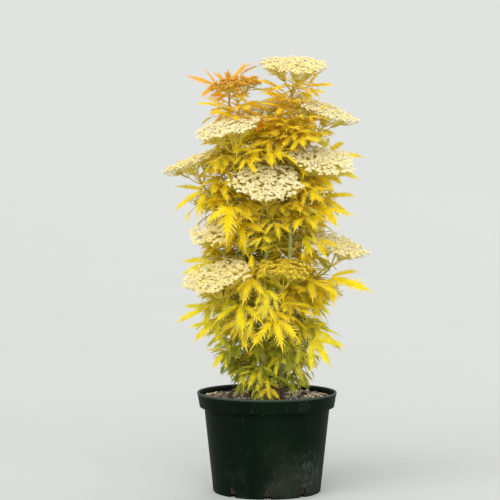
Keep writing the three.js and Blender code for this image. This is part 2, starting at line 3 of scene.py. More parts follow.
import bpy
import numpy as np
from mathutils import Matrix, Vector


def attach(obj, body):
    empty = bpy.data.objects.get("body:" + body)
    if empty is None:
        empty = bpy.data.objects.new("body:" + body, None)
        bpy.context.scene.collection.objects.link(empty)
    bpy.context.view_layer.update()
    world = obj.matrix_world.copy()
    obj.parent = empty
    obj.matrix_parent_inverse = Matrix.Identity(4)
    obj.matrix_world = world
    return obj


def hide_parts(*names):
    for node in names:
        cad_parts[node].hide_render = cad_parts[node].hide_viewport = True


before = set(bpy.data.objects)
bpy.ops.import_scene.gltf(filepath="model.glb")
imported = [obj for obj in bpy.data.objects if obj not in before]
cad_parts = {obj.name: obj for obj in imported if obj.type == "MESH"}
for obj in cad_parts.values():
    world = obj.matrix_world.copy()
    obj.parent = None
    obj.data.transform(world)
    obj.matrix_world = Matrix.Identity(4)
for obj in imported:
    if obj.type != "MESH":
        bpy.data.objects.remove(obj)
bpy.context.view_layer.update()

# Lengths are in millimetres until a mesh is made.
MM = 0.001
UP = np.array([0.0, 0.0, 1.0])
GOLDEN_ANGLE = 137.508

# The container and what fills it.
POT_HEIGHT = 200.0
RIM_RADIUS = 140.0
RIM_WIDTH = 3.6
BEAD_DEPTH = 4.2
FOOT_RADIUS = 108.0
FOOT_RING_RADIUS = 94.0
FOOT_RING_DEPTH = 3.0
SHOULDER_RADIUS = 126.0
COLLAR_FOOT_RADIUS = 135.0
COLLAR_DEPTH = 30.0
WALL = 2.4
CORNER_RADIUS = 1.1
CORNER_STEPS = 4
POT_SIDES = 160
HOLE_COUNT = 9
HOLE_RADIUS = 7.5
HOLE_RISE = 13.5
SOIL_TOP = 186.0
SOIL_RADIUS = 132.0
SOIL_RINGS = 66
SOIL_SIDES = 150
# The radius and the height of each ring of its side, which steps in over the container's shoulder.
SOIL_SIDE = [(131.6, 172.8), (122.4, 172.7), (104.4, 6.0)]

# Loose bark chips, and the finer crumbs between them.
CHIP_COUNT = 1500
CRUMB_COUNT = 1000
CHIP_LENGTHS = (2.2, 6.4)
CRUMB_LENGTHS = (0.9, 1.9)
# Chips are dealt out up to the first radius, and none of their corners passes the second one.
CHIP_REACH = 129.0
CHIP_LIMIT = 131.5
# Shares of the dark, brown, red and tan chips. Most of the pale ones lie at the right rear.
CHIP_SHARES = [0.4, 0.28, 0.14, 0.18]
RIGHT_REAR_SHARES = [0.2, 0.2, 0.14, 0.46]

# Dust smeared on the container's wall, and flecks dried on its collar, in metres.
SMEAR_PLACE = (0.088, -0.074, 0.045)
CRUST_PLACE = (0.070, -0.119, 0.184)

# The studio's floor.
FLOOR_RADIUS = 45000.0
FLOOR_SIDES = 96

# The camera's place in metres, and the degrees by which it looks down.
CAMERA_PLACE = (-0.034, -3.6, 0.642)
CAMERA_DIP = 2.51
LENS_LENGTH = 129.6
SENSOR_WIDTH = 36.0

# Canes, as in the part's source: the foot and the bow are [x, y], the tip is [x, y, z].
CANE_SUNK = 8.0
CANE_TIP_RADIUS = 2.8
CANES = [
    dict(name="cane_front", foot=(-4, -27), bow=(-11, -50), tip=(4, -50, 540), radius=7.0),
    dict(name="cane_right_front", foot=(21, -15), bow=(48, -30), tip=(46, -16, 738), radius=8.5),
    dict(name="cane_left", foot=(-25, -8), bow=(-60, -16), tip=(-56, -6, 712), radius=8.0),
    dict(name="cane_right", foot=(25, 11), bow=(66, 14), tip=(74, 4, 690), radius=7.5),
    dict(name="cane_back_right", foot=(8, 28), bow=(23, 57), tip=(30, 52, 690), radius=8.0),
    dict(name="cane_back_left", foot=(-18, 20), bow=(-41, 48), tip=(-24, 40, 660), radius=7.5),
    dict(name="cane_middle", foot=(0, 0), bow=(2, 2), tip=(-2, -4, 700), radius=6.5),
]
CANE_TOP = max(cane["tip"][2] for cane in CANES)
BARK_RINGS = 160
BARK_SIDES = 20
# The bark is fissured up to the first height, and smooth from the second one on.
FISSURED_HEIGHTS = (230, 360)
# The flare at a cane's foot in shares of its radius, the share of its length in which the flare fades,
# the swelling at each joint in shares of its radius, and the lengths up to the first joint and on to the
# next ones.
FOOT_FLARE = 0.35
FLARE_REACH = 0.033
JOINT_SWELLING = 0.16
FIRST_JOINT = (60, 90)
JOINT_GAPS = (62, 98)
# The share of the bark's points that are raised as pores.
PORE_SHARE = 0.016
# A side shoot's radius at its foot and at its end.
SHOOT_RADII = (2.6, 2.0)

# Shoots that end in a flower head, or in young leaves: the cane, the height at which the shoot leaves
# it or None for its tip, the head's middle, breadth and lean, and each leaf's heading and lift.
# Bloom says how its flowers are dealt out.
FLOWER_SHOOTS = [
    dict(name="flower_top_right", cane=1, node=None, head=(52, -20, 846), breadth=132, lean=(2, 17),
         leaves=[(-12, 8), (168, 8), (75, 8), (-100, 4)], bloom="cream"),
    dict(name="flower_top_left", cane=2, node=None, head=(-60, -20, 815), breadth=100, lean=(-4, 6),
         leaves=[(186, 10), (-70, 10), (25, 14)], size=0.8, bloom="orange bud"),
    dict(name="young_shoot", cane=2, node=668, tip=(-76, 43, 794),
         leaves=[(30, 42), (176, 14), (100, 34), (205, 30)], size=0.8, bloom=None),
    dict(name="flower_top_middle", cane=6, node=None, head=(-12, 18, 770), breadth=96, lean=(-8, 12),
         leaves=[(-100, 15), (150, 10), (15, 10)], bloom="cream"),
    dict(name="flower_upper_right", cane=3, node=None, head=(115, -6, 758), breadth=130, lean=(20, 14),
         leaves=[(-70, 0), (60, 0), (-150, 0)], bloom="white"),
    dict(name="flower_front", cane=0, node=None, head=(0, -98, 616), breadth=138, lean=(2, 32),
         leaves=[(-160, 0), (-20, 0), (80, 10)], bloom="white"),
    dict(name="flower_top_back_right", cane=4, node=None, head=(48, 96, 762), breadth=124, lean=(8, -22),
         leaves=[(20, 5), (120, 0), (-50, 15)], bloom="white"),
    dict(name="flower_top_back_left", cane=5, node=None, head=(-50, 102, 716), breadth=120, lean=(-12, -20),
         leaves=[(110, 0), (-172, 12), (60, 5)], bloom="cream"),
    dict(name="flower_upper_left", cane=2, node=640, head=(-76, -82, 722), breadth=132, lean=(-14, 16),
         leaves=[(-160, 5), (-30, 0)], bloom="white"),
    dict(name="flower_left", cane=2, node=560, head=(-146, -14, 658), breadth=124, lean=(-22, 6),
         leaves=[(-172, -12), (120, 0)], bloom="cream"),
    dict(name="flower_right", cane=3, node=570, head=(107, -56, 658), breadth=138, lean=(10, 24),
         leaves=[(-12, -8), (14, 12)], bloom="white"),
    dict(name="flower_middle_left", cane=2, node=456, head=(-106, -52, 520), breadth=98, lean=(-18, 28),
         leaves=[(-158, -4), (150, 0)], bloom="cream"),
    dict(name="flower_middle_right", cane=3, node=410, head=(140, -26, 492), breadth=116, lean=(18, 17),
         leaves=[(-10, -6), (50, 0)], bloom="cream"),
    dict(name="flower_lower_left", cane=2, node=330, head=(-98, -92, 434), breadth=136, lean=(-14, 24),
         leaves=[(-170, 6), (-60, 0)], bloom="cream"),
    dict(name="flower_lower_front", cane=0, node=360, head=(33, -104, 452), breadth=112, lean=(4, 8),
         leaves=[(-130, -10), (-40, -10)], bloom="golden bud"),
    dict(name="flower_back_right", cane=4, node=520, head=(82, 106, 650), breadth=130, lean=(14, -22),
         leaves=[(20, 0), (110, 0)], bloom="cream"),
    dict(name="flower_back_left", cane=5, node=500, head=(-92, 104, 590), breadth=134, lean=(-16, -20),
         leaves=[(160, 0), (80, 0)], bloom="white"),
    dict(name="flower_back", cane=4, node=410, head=(16, 138, 500), breadth=126, lean=(2, -26),
         leaves=[(50, 0), (130, 0)], bloom="white"),
    dict(name="flower_lower_back", cane=4, node=320, head=(98, 96, 404), breadth=120, lean=(16, -18),
         leaves=[(0, 0), (75, 0)], bloom="cream"),
]

# The leafy shoots of the spiral, as in the part's source.
LEAFY_COUNT = 32
LEAFY_FOOT = 222.0
LEAFY_TOP = 696.0
LEAFY_START = -110.0
LEAFY_TURNS = [6, -56, 64, -104, 112, 30]
# Leaves are smaller at the foot and at the top, and of full size between two heights.
LOW_SIZE = 0.7
HIGH_SIZE = 0.8
FULL_SIZE_FROM = 330.0
FULL_SIZE_TO = 560.0

# Leaves that stand out from the crown: the cane or shoot, the height on the cane or the share of the
# shoot's length where the leaf grows, its farthest tip, the roll that turns its face, its kind, and the
# length of its stalk as a share of the usual one.
PROUD_LEAVES = [
    ("young_shoot", 0.96, (-169, 15, 832), -50, "orange", 0.6),
    ("young_shoot", 1.0, (-34, 35, 865), 50, "orange", 0.5),
    ("young_shoot", 1.0, (-109, 50, 846), -50, "orange", 0.5),
    ("young_shoot", 0.9, (-82, -10, 846), -20, "orange", 0.5),
    ("flower_top_right", 0.5, (-30, -66, 822), -30, "amber", 0.5),
    ("flower_top_right", 0.42, (-14, -96, 790), -20, "amber", 0.6),
    ("flower_top_right", 0.36, (18, -104, 776), 10, "amber", 0.6),
    ("flower_top_right", 0.4, (-8, -40, 782), -60, "amber", 0.6),
    ("flower_top_right", 0.6, (140, -10, 813), 50, "amber", 1.0),
    ("flower_top_right", 0.35, (122, -50, 795), 40, "gold", 1.0),
    ("flower_top_right", 0.25, (11, -110, 745), -20, "amber", 1.0),
    ("flower_top_left", 0.45, (-147, -20, 773), -45, "amber", 1.0),
    ("flower_top_left", 0.3, (-67, -100, 737), 0, "amber", 1.0),
    ("flower_top_left", 0.45, (-84, -84, 764), -20, "amber", 0.6),
    ("flower_top_left", 0.4, (-28, -78, 760), 20, "amber", 0.6),
    ("flower_top_left", 0.35, (-118, -56, 752), -40, "gold", 0.7),
    ("cane_right_front", 725, (129, -70, 740), 40, "amber", 1.0),
    ("cane_middle", 690, (64, -130, 721), 10, "gold", 1.0),
    ("cane_middle", 680, (36, -112, 706), 30, "gold", 1.0),
    ("cane_middle", 676, (-34, -120, 650), -15, "gold", 1.0),
    ("cane_middle", 660, (34, -124, 656), 20, "gold", 1.0),
    ("cane_left", 694, (-66, -112, 668), -10, "gold", 1.0),
    ("cane_left", 704, (-34, -104, 750), -20, "amber", 1.0),
    ("cane_right_front", 716, (-8, -106, 738), -10, "amber", 1.0),
    ("cane_right_front", 722, (72, -110, 742), 20, "gold", 1.0),
    ("cane_right_front", 730, (46, -98, 762), 10, "amber", 0.7),
    ("cane_right_front", 700, (22, -118, 726), -10, "amber", 1.0),
    ("cane_right_front", 706, (58, -116, 700), 20, "gold", 1.0),
    ("cane_right_front", 690, (92, -96, 706), 25, "gold", 1.0),
    ("cane_right_front", 610, (78, -118, 590), 5, "gold", 1.0),
    ("cane_right_front", 600, (112, -120, 578), 25, "gold", 1.0),
    ("cane_right_front", 580, (66, -128, 556), 0, "amber", 1.0),
    ("cane_right", 632, (132, -92, 600), 30, "gold", 1.0),
    ("cane_middle", 668, (8, -140, 646), -10, "gold", 1.0),
    ("cane_left", 680, (-138, -60, 689), -40, "gold", 1.0),
    ("cane_left", 640, (-120, -90, 631), -30, "gold", 1.0),
    ("cane_left", 612, (-146, -50, 603), -35, "gold", 1.0),
    ("cane_left", 590, (-190, -40, 555), -40, "gold", 1.0),
    ("cane_left", 575, (-84, -165, 499), -8, "gold", 1.0),
    ("flower_front", 0.3, (26, -130, 505), 0, "gold", 1.0),
    ("cane_right", 640, (200, 0, 658), 45, "gold", 1.0),
    ("cane_right", 622, (191, -20, 626), 40, "lemon", 1.0),
    ("cane_right", 628, (152, -70, 615), 35, "gold", 1.0),
    ("cane_right", 590, (161, -60, 552), 40, "gold", 1.0),
    ("cane_right", 575, (142, -110, 530), 30, "gold", 1.0),
    ("cane_right_front", 540, (102, -140, 525), 15, "gold", 1.0),
    ("cane_right", 500, (117, -110, 466), 20, "gold", 1.0),
    ("cane_left", 440, (-178, -60, 434), -35, "lemon", 1.0),
    ("cane_right", 410, (211, -70, 397), 40, "gold", 1.0),
    ("cane_right_front", 400, (150, -120, 392), 30, "gold", 1.0),
    ("cane_left", 372, (-186, -40, 333), -40, "lemon", 1.0),
    ("cane_left", 345, (-148, -70, 298), -35, "lemon", 1.0),
    ("cane_right_front", 345, (151, -60, 283), 40, "lemon", 1.0),
    ("cane_front", 380, (31, -165, 288), 5, "gold", 1.0),
    ("cane_left", 385, (-53, -160, 326), 0, "lemon", 1.0),
    ("cane_left", 290, (-116, -70, 249), -40, "lemon", 1.0),
    ("cane_right_front", 330, (128, -90, 253), 35, "lemon", 1.0),
    # The lime leaves at the crown's foot are painted shade: darker, for the shade under the crown.
    ("cane_right_front", 290, (69, -100, 223), 30, "lime", 1.0),
    ("cane_front", 240, (5, -104, 205), 5, "lemon", 0.7),
    ("cane_left", 250, (-58, -92, 212), -20, "lime", 0.7),
    ("cane_front", 252, (-40, -104, 214), -10, "lemon", 0.7),
    ("cane_front", 262, (-16, -108, 228), 0, "lime", 0.7),
]
# Their leaflets are this much slimmer than those of the crown behind them.
PROUD_SLIMNESS = 0.76

# How far leaflets reach from the plant's middle, at some heights, and how that varies.
CROWN_HEIGHTS = [195, 250, 300, 360, 420, 560, 640, 700, 760, 820]
CROWN_REACHES = [84, 106, 128, 142, 140, 136, 142, 140, 122, 98]
RAGGED = (0.88, 1.04)
# Where the stems show between the leaves, the front of the crown is open: its left, right, foot and top.
OPEN_PLACE = (30.0, 70.0, 462.0, 526.0)
OPEN_BEHIND = -20.0
# A leaflet cut shorter than this by the crown's reach is left out.
LEAST_LEAFLET = 26.0
# Leaves on shoots without a flower head are this much smaller than their stand-ins in the solids.
LEAFY_SHARE = 0.84
# No leaflet crosses the space over a flower head: its width and height, in shares of the head's breadth.
CLEAR_WIDTH = 0.47
CLEAR_HEIGHT = 0.2
# The points of a leaflet that are tried, in shares of its length.
TRIED_ALONG = [0.2, 0.55, 0.9]

# Where the first main leaf stands along a shoot, and the step to each next one, in shares of its length.
FLOWER_LEAF_STEPS = (0.3, 0.18)
LEAFY_LEAF_STEPS = (1.0, -0.12)
# Finer leaves between the main ones, on each kind of shoot.
FINER_ON_HIGH_HEADS = 8
FINER_ON_HEADS = 4
FINER_ON_LEAFY = 6
# Gaps between the pairs of small leaves up a cane, above each height.
INNER_GAPS = [(560, (9, 14)), (400, (13, 22)), (0, (18, 30))]

# Seeds of the shoots, of what grows on them and of the chips. A few shoots are drawn anew, as in the
# part's source.
FIRST_SEED = 100
DRAWN_ANEW = {"leaves_back_left_3": 100, "leaves_right_front_5": 100, "leaves_right_front_6": 100}
HEAD_SEED = 500
INNER_SEED = 700
PROUD_SEED = 900
BARK_SEED = 300
BLADE_SEED = 40
FLORET_SEEDS = (31, 32, 33)
SPIN_SEED = 90
CHIP_SEED = 61

# A leaf's stalk, how steeply it leaves its stem at the soil and at the top, and its leaflets. A width is
# the range over which the numbers are drawn.
STALK_LENGTH = 62.0
STALK_RADIUS = 1.1
STALK_TAPER = [1.5, 1.15, 1.0, 0.95, 0.9, 0.8, 0.7, 0.55]
SOIL_PITCH = 2.0
TOP_PITCH = 34.0
PITCH_WIDTH = 22.0
FALL = 46.0
FALL_WIDTH = 36.0
FACE_WIDTH = 68.0
PROUD_FACE_WIDTH = 24.0
PAIR_PLACES = [0.56, 1.0]
PAIR_ANGLES = [66, 50]
PAIR_LENGTHS = [0.84, 0.96]
# Some leaves have a third pair near the stalk's foot.
THIRD_PAIR_CHANCE = 0.45
THIRD_PAIR_PLACE = 0.3
THIRD_PAIR_ANGLE = 74
THIRD_PAIR_LENGTH = 0.58
ANGLE_WIDTH = 16.0
LENGTH_WIDTH = 0.3
LOBE_LENGTH = 66.0
END_LOBE_LENGTH = 1.175
END_LENGTH_WIDTH = 0.25
LOBE_DROOP = 0.325
DROOP_WIDTH = 0.35
LEAST_DIP = 0.24
TEETH = 7
TEETH_REACH = 0.62
BLADE_SHAPES = 6

# Leaves that would sink into the growing medium or the rim are lifted to these heights over them.
SOIL_CLEARANCE = 4.5
RIM_CLEARANCE = 1.5

# Flower heads. Tufts is their number on a head of the usual breadth, and gap is the ripple below which one
# is left out. Scatter is how unevenly high they stand, and lean how far the outer ones lean outwards.
# Spread is a tuft's radius, and the number of its flowers starts at the first limit and stays below the
# second one.
USUAL_BREADTH = 130
HUB_DEPTH = 0.34
OPEN_HEAD = dict(tufts=235, gap=-0.85, scatter=1.8, lean=0.06, spread=4.4, flowers=(4, 7))
BUD_HEAD = dict(tufts=190, gap=-0.7, scatter=3.8, lean=0.6, spread=5.0, flowers=(8, 12))
BUD_RADII = (1.4, 1.95)
LATE_BUD_CHANCE = 0.07
LATE_BUD_RADIUS = 1.3
FLORET_RADII = (2.5, 3.1)
GAP_WAVELENGTH = 20.0
SEAT_DEPTH = 6.0
MAIN_RAYS = 5
TUFTS_TO_A_FORK = 3

# Rays at their foot and at their end: main rays, the forks of a few tufts each, and the tufts' own.
RAY_RINGS = 4
MAIN_RAY = (1.55, 1.05)
FORK_RAY = (0.95, 0.7)
TUFT_RAY = (0.62, 0.42)
# Rays above this radius get five sides, the others three.
STOUT_RAY = 0.8
# A flower's own stalk, under the flower.
THREAD_RADIUS = 0.36

# Leaf colours, each with its glow against the light and the colour of its teeth.
# The lime kind is partly the greener yellow of low leaves and partly painted shade, darkened for the shade
# under the crown.
# The olive kind is painted shade: a darker, greener yellow for leaves in the crown's own shade.
LEAF_KINDS = {
    "orange": ("e8a024", "f0b62c", "f4be54"),
    "amber": ("eec21a", "e8ca1e", "f6da64"),
    "gold": ("eac814", "dacc1a", "f8e674"),
    "lemon": ("e2cc18", "d0cc1c", "f6ea90"),
    "lime": ("beb41c", "aeae20", "e2da74"),
    "shaded_olive": ("8e921c", "8a921e", "bebe5c"),
}

# Parts of the crown: inside a radius, and up to a height or from it on.
INSIDE_RADIUS = 48
BASE_TOP = 275
LOW_TOP = 350
UPPER_FOOT = 540
TOP_FOOT = 700
YOUNG_SHOOTS = ("flower_top_left", "young_shoot")
# How the kinds are dealt out to the leaves of each part of the crown, in shares.
DEALS = {
    "young": {"orange": 0.35, "amber": 0.65},
    "top": {"orange": 0.02, "amber": 0.36, "gold": 0.56, "lemon": 0.06},
    "upper": {"amber": 0.16, "gold": 0.66, "lemon": 0.14, "lime": 0.04},
    "outside": {"amber": 0.02, "gold": 0.5, "lemon": 0.34, "lime": 0.14},
    # Low down and inside the crown, the lime and olive leaves are painted shade.
    "low": {"gold": 0.2, "lemon": 0.3, "lime": 0.4, "shaded_olive": 0.1},
    "base": {"lemon": 0.14, "lime": 0.5, "shaded_olive": 0.36},
    "inside": {"gold": 0.1, "lemon": 0.08, "lime": 0.38, "shaded_olive": 0.44},
    "high inside": {"amber": 0.14, "gold": 0.64, "lemon": 0.16, "lime": 0.06},
}


# Small tools for points and directions.
def unit(vectors):
    vectors = np.asarray(vectors, float)
    return vectors / np.maximum(np.linalg.norm(vectors, axis=-1, keepdims=True), 1e-9)


def lerp(low, high, share):
    return low + (high - low) * share


def ramp(value, low, high):
    """0 up to low, 1 from high on, and a straight line between them."""
    return np.clip((value - low) / (high - low), 0.0, 1.0)


def compass(heading):
    return np.array([math.cos(heading), math.sin(heading), 0.0])


def turned(vector, axis, angle):
    """A vector turned about an axis, by the right-hand rule."""
    cos, sin = math.cos(angle), math.sin(angle)
    return vector * cos + np.cross(axis, vector) * sin + axis * np.dot(axis, vector) * (1 - cos)


def bezier(corners, share):
    share = np.atleast_1d(np.asarray(share, float))[:, None]
    a, b, c, d = [np.asarray(corner, float) for corner in corners]
    rest = 1 - share
    return a * rest**3 + 3 * b * rest**2 * share + 3 * c * rest * share**2 + d * share**3


def steps_round(count):
    """Angles in equal steps of a full turn."""
    return 2 * math.pi * np.arange(count) / count


def columns(rows):
    """Rows of several values each, turned into one array for each value."""
    return [np.array(column) for column in zip(*rows)]


def ripple(points, wavelength, seed, waves=14):
    """Smooth noise about zero, from a sum of slanted waves."""
    draw = np.random.default_rng(seed)
    points = np.asarray(points, float)
    total = np.zeros(len(points))
    for _ in range(waves):
        direction = unit(draw.normal(size=points.shape[1]))
        pace = 2 * math.pi / (wavelength * draw.uniform(0.6, 1.8))
        total += np.sin(points @ direction * pace + draw.uniform(0, 2 * math.pi))
    return total / math.sqrt(waves)


class Draws:
    """The source's repeatable stream of numbers from 0 to 1."""

    def __init__(self, seed):
        self.state = int(seed) & 0xFFFFFFFF

    def next(self):
        self.state = (self.state + 0x6D2B79F5) & 0xFFFFFFFF
        mixed = (self.state ^ (self.state >> 15)) * (self.state | 1) & 0xFFFFFFFF
        again = (mixed ^ (mixed >> 7)) * (mixed | 61) & 0xFFFFFFFF
        mixed ^= (mixed + again) & 0xFFFFFFFF
        return (mixed ^ (mixed >> 14)) / 2**32

    def vary(self, middle, width):
        return middle + width * (self.next() - 0.5)


class Heap:
    """Points and faces gathered for one piece. A face's shade is the number of its finish."""

    def __init__(self):
        self.points = []
        self.faces = []
        self.shades = []
        self.count = 0

    def add(self, points, faces, shade=0, more=()):
        """Adds points and the faces between them. More holds faces with another number of corners."""
        first = self.count
        self.points.append(np.asarray(points, float).reshape(-1, 3))
        self.count += len(self.points[-1])
        for some in (faces, more):
            if len(some):
                some = np.asarray(some, int)
                self.faces.append(some + first)
                self.shades.append(np.broadcast_to(shade, len(some)))

    def mesh(self, name, smooth=False):
        points = np.concatenate(self.points) * MM
        corners = np.concatenate([faces.ravel() for faces in self.faces])
        sizes = np.concatenate([np.full(len(faces), faces.shape[1]) for faces in self.faces])
        mesh = bpy.data.meshes.new(name)
        mesh.vertices.add(len(points))
        mesh.vertices.foreach_set("co", points.ravel())
        mesh.loops.add(len(corners))
        mesh.loops.foreach_set("vertex_index", corners)
        mesh.polygons.add(len(sizes))
        mesh.polygons.foreach_set("loop_start", np.concatenate([[0], np.cumsum(sizes)[:-1]]))
        mesh.polygons.foreach_set("material_index", np.concatenate(self.shades).astype(int))
        mesh.polygons.foreach_set("use_smooth", np.full(len(sizes), smooth))
        mesh.update(calc_edges=True)
        mesh.validate()
        return mesh

    def piece(self, name, finishes, slot, stands_for=(), smooth=False):
        """Makes the mesh and rides it on the plant."""
        piece = link(name, self.mesh(name, smooth))
        for finish in finishes:
            piece.data.materials.append(finish)
        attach(piece, "root")
        if stands_for:
            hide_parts(*stands_for)
        return piece


def link(name, data):
    """A new object with these data, in the scene."""
    thing = bpy.data.objects.new(name, data)
    bpy.context.scene.collection.objects.link(thing)
    return thing


def ring_faces(rings, sides):
    """The walls between rings of points, and the fans that close the first and the last ring."""
    ring, side = np.meshgrid(np.arange(rings - 1), np.arange(sides), indexing="ij")
    low = (ring * sides + side).ravel()
    low_next = (ring * sides + (side + 1) % sides).ravel()
    walls = np.stack([low, low_next, low_next + sides, low + sides], axis=1)
    fan = np.array([[0, i, i + 1] for i in range(1, sides - 1)])
    return walls, np.concatenate([fan[:, ::-1], fan + (rings - 1) * sides])


# Finishes: sums on a wire add Math nodes, and every other node comes from Finish.node.
class Wire:
    def __init__(self, finish, socket):
        self.finish = finish
        self.socket = socket

    def maths(self, operation, first, second):
        return self.finish.node("ShaderNodeMath", {"operation": operation}, {0: first, 1: second})

    def __add__(self, other):
        return self.maths("ADD", self, other)

    def __radd__(self, other):
        return self.maths("ADD", other, self)

    def __sub__(self, other):
        return self.maths("SUBTRACT", self, other)

    def __rsub__(self, other):
        return self.maths("SUBTRACT", other, self)

    def __mul__(self, other):
        return self.maths("MULTIPLY", self, other)

    def __rmul__(self, other):
        return self.maths("MULTIPLY", other, self)


def paint(code):
    """A colour written as red, green and blue pairs, as light."""
    shares = [int(code[i : i + 2], 16) / 255 for i in (0, 2, 4)]
    light = [share / 12.92 if share <= 0.04045 else ((share + 0.055) / 1.055) ** 2.4 for share in shares]
    return (*light, 1.0)


class Finish:
    def __init__(self, name):
        self.material = bpy.data.materials.new(name)
        self.material.use_nodes = True
        self.tree = self.material.node_tree
        self.tree.nodes.clear()

    def node(self, kind, settings, sockets, output=0):
        """Any node: its settings are set first, then the values and links of its sockets."""
        made = self.tree.nodes.new(kind)
        for key, value in settings.items():
            setattr(made, key, value)
        for key, value in sockets.items():
            if isinstance(value, Wire):
                self.tree.links.new(value.socket, made.inputs[key])
            else:
                made.inputs[key].default_value = value
        return Wire(self, made.outputs[output])

    def place(self):
        return self.node("ShaderNodeTexCoord", {}, {}, "Object")

    def height(self):
        return self.node("ShaderNodeSeparateXYZ", {}, {0: self.place()}, "Z")

    def stretched(self, scale):
        return self.node("ShaderNodeVectorMath", {"operation": "MULTIPLY"}, {0: self.place(), 1: scale})

    def noise(self, scale, detail=4.0, rough=0.5, vector=None):
        sockets = {"Vector": vector or self.place(), "Scale": scale, "Detail": detail, "Roughness": rough}
        return self.node("ShaderNodeTexNoise", {}, sockets, "Fac")

    def cells(self, scale, vector=None):
        sockets = {"Vector": vector or self.place(), "Scale": scale}
        return self.node("ShaderNodeTexVoronoi", {}, sockets, "Distance")

    def between(self, value, low, high):
        """A mask that goes from 0 at low to 1 at high."""
        sockets = {"Value": value, "From Min": low, "From Max": high}
        return self.node("ShaderNodeMapRange", {"interpolation_type": "SMOOTHSTEP"}, sockets)

    def near(self, spot, full, none):
        """A mask that is 1 close to a spot and 0 away from it."""
        sockets = {0: self.place(), 1: spot}
        away = self.node("ShaderNodeVectorMath", {"operation": "DISTANCE"}, sockets, "Value")
        return 1 - self.between(away, full, none)

    def mix(self, share, first, second):
        return self.node("ShaderNodeMix", {"data_type": "RGBA"}, {0: share, 6: first, 7: second}, 2)

    def bump(self, height, depth, strength=1.0):
        return self.node("ShaderNodeBump", {}, {"Height": height, "Distance": depth, "Strength": strength})

    def surface(self, colour, roughness, relief=None, shine=0.5, glow=None, glow_share=0.0):
        """Ends the finish. Glow is the colour of the light that shines through thin parts."""
        sockets = {"Base Color": colour, "Roughness": roughness, "Specular IOR Level": shine}
        if relief:
            sockets["Normal"] = relief
        shader = self.node("ShaderNodeBsdfPrincipled", {}, sockets)
        if glow:
            through = self.node("ShaderNodeBsdfTranslucent", {}, {"Color": glow})
            shader = self.node("ShaderNodeMixShader", {}, {0: glow_share, 1: shader, 2: through})
        end = self.tree.nodes.new("ShaderNodeOutputMaterial")
        self.tree.links.new(shader.socket, end.inputs["Surface"])
        return self.material


def tint(code, share):
    """A colour made lighter, or darker where share is below 1."""
    red, green, blue, _ = paint(code)
    return (min(red * share, 1.0), min(green * share, 1.0), min(blue * share, 1.0), 1.0)


def leaf_finish(kind):
    body, glow, _ = LEAF_KINDS[kind]
    finish = Finish(f"{kind}_leaf")
    patches = finish.between(finish.noise(60.0, 3.0), 0.35, 0.65)
    flecks = finish.between(finish.noise(420.0, 2.0), 0.45, 0.7)
    colour = finish.mix(patches, tint(body, 0.86), tint(body, 1.18))
    colour = finish.mix(flecks * 0.35, colour, tint(body, 1.4))
    relief = finish.bump(finish.noise(700.0, 3.0), 0.0006, 0.5)
    roughness = 0.42 + 0.2 * patches
    return finish.surface(colour, roughness, relief, 0.26, paint(glow), 0.36)


def teeth_finish(kind):
    _, glow, teeth = LEAF_KINDS[kind]
    finish = Finish(f"{kind}_teeth")
    flecks = finish.between(finish.noise(300.0, 2.0), 0.4, 0.65)
    colour = finish.mix(flecks, tint(teeth, 0.86), tint(teeth, 1.05))
    return finish.surface(colour, 0.5, glow=paint(glow), glow_share=0.4)


def stalk_finish(name, pale, flushed):
    """Leaf and flower stalks, flushed in patches."""
    finish = Finish(name)
    flush = finish.between(finish.noise(24.0, 2.0), 0.42, 0.66)
    grain = finish.noise(1.0, 3.0, vector=finish.stretched((900.0, 900.0, 120.0)))
    colour = finish.mix(flush, paint(pale), paint(flushed))
    relief = finish.bump(grain, 0.0003, 0.5)
    return finish.surface(colour, 0.5, relief)


def petal_finish(name, code, shade):
    finish = Finish(name)
    bloom = finish.between(finish.noise(90.0, 3.0), 0.36, 0.64)
    fine = finish.noise(900.0, 2.0)
    colour = finish.mix(bloom, paint(shade), paint(code))
    relief = finish.bump(fine, 0.0002, 0.4)
    return finish.surface(colour, 0.6, relief, glow=paint(code), glow_share=0.28)


def bud_finish(name, code, shade):
    finish = Finish(name)
    share = finish.between(finish.noise(160.0, 2.0), 0.38, 0.62)
    colour = finish.mix(share, paint(shade), paint(code))
    relief = finish.bump(finish.noise(1100.0, 2.0), 0.0002, 0.5)
    return finish.surface(colour, 0.45, relief)


def bark_finish():
    """Grey-green bark with pale breathing pores, brown and fissured towards the foot."""
    finish = Finish("elder_bark")
    height = finish.height()
    wander = finish.noise(9.0, 3.0)
    green = finish.between(height + 0.12 * wander, 0.25, 0.36)
    streaks = finish.noise(1.0, 5.0, 0.6, finish.stretched((420.0, 420.0, 36.0)))
    cracks = finish.between(finish.noise(1.0, 6.0, 0.7, finish.stretched((260.0, 260.0, 48.0))), 0.42, 0.56)
    brown = finish.mix(cracks, paint("3e2c20"), paint("86705a"))
    young = finish.mix(streaks, paint("98a44c"), paint("d0d28a"))
    pores = 1 - finish.between(finish.cells(1.0, finish.stretched((330.0, 330.0, 210.0))), 0.12, 0.24)
    colour = finish.mix(green, brown, young)
    colour = finish.mix(pores * 0.65, colour, paint("c9bd92"))
    relief = finish.bump(streaks + 0.8 * pores + cracks * (1 - green), 0.0012, 0.8)
    return finish.surface(colour, 0.72 - 0.16 * green, relief)


def shoot_finish():
    """Green side shoots, redder towards the top of the plant."""
    finish = Finish("side_shoot")
    ripe = finish.between(finish.height() + 0.1 * finish.noise(14.0, 2.0), 0.62, 0.86)
    streaks = finish.noise(1.0, 4.0, 0.6, finish.stretched((700.0, 700.0, 90.0)))
    low = finish.mix(streaks, paint("8f9844"), paint("bcc062"))
    high = finish.mix(streaks, paint("b08438"), paint("d2ac52"))
    relief = finish.bump(streaks, 0.0004, 0.6)
    return finish.surface(finish.mix(ripe, low, high), 0.5, relief)


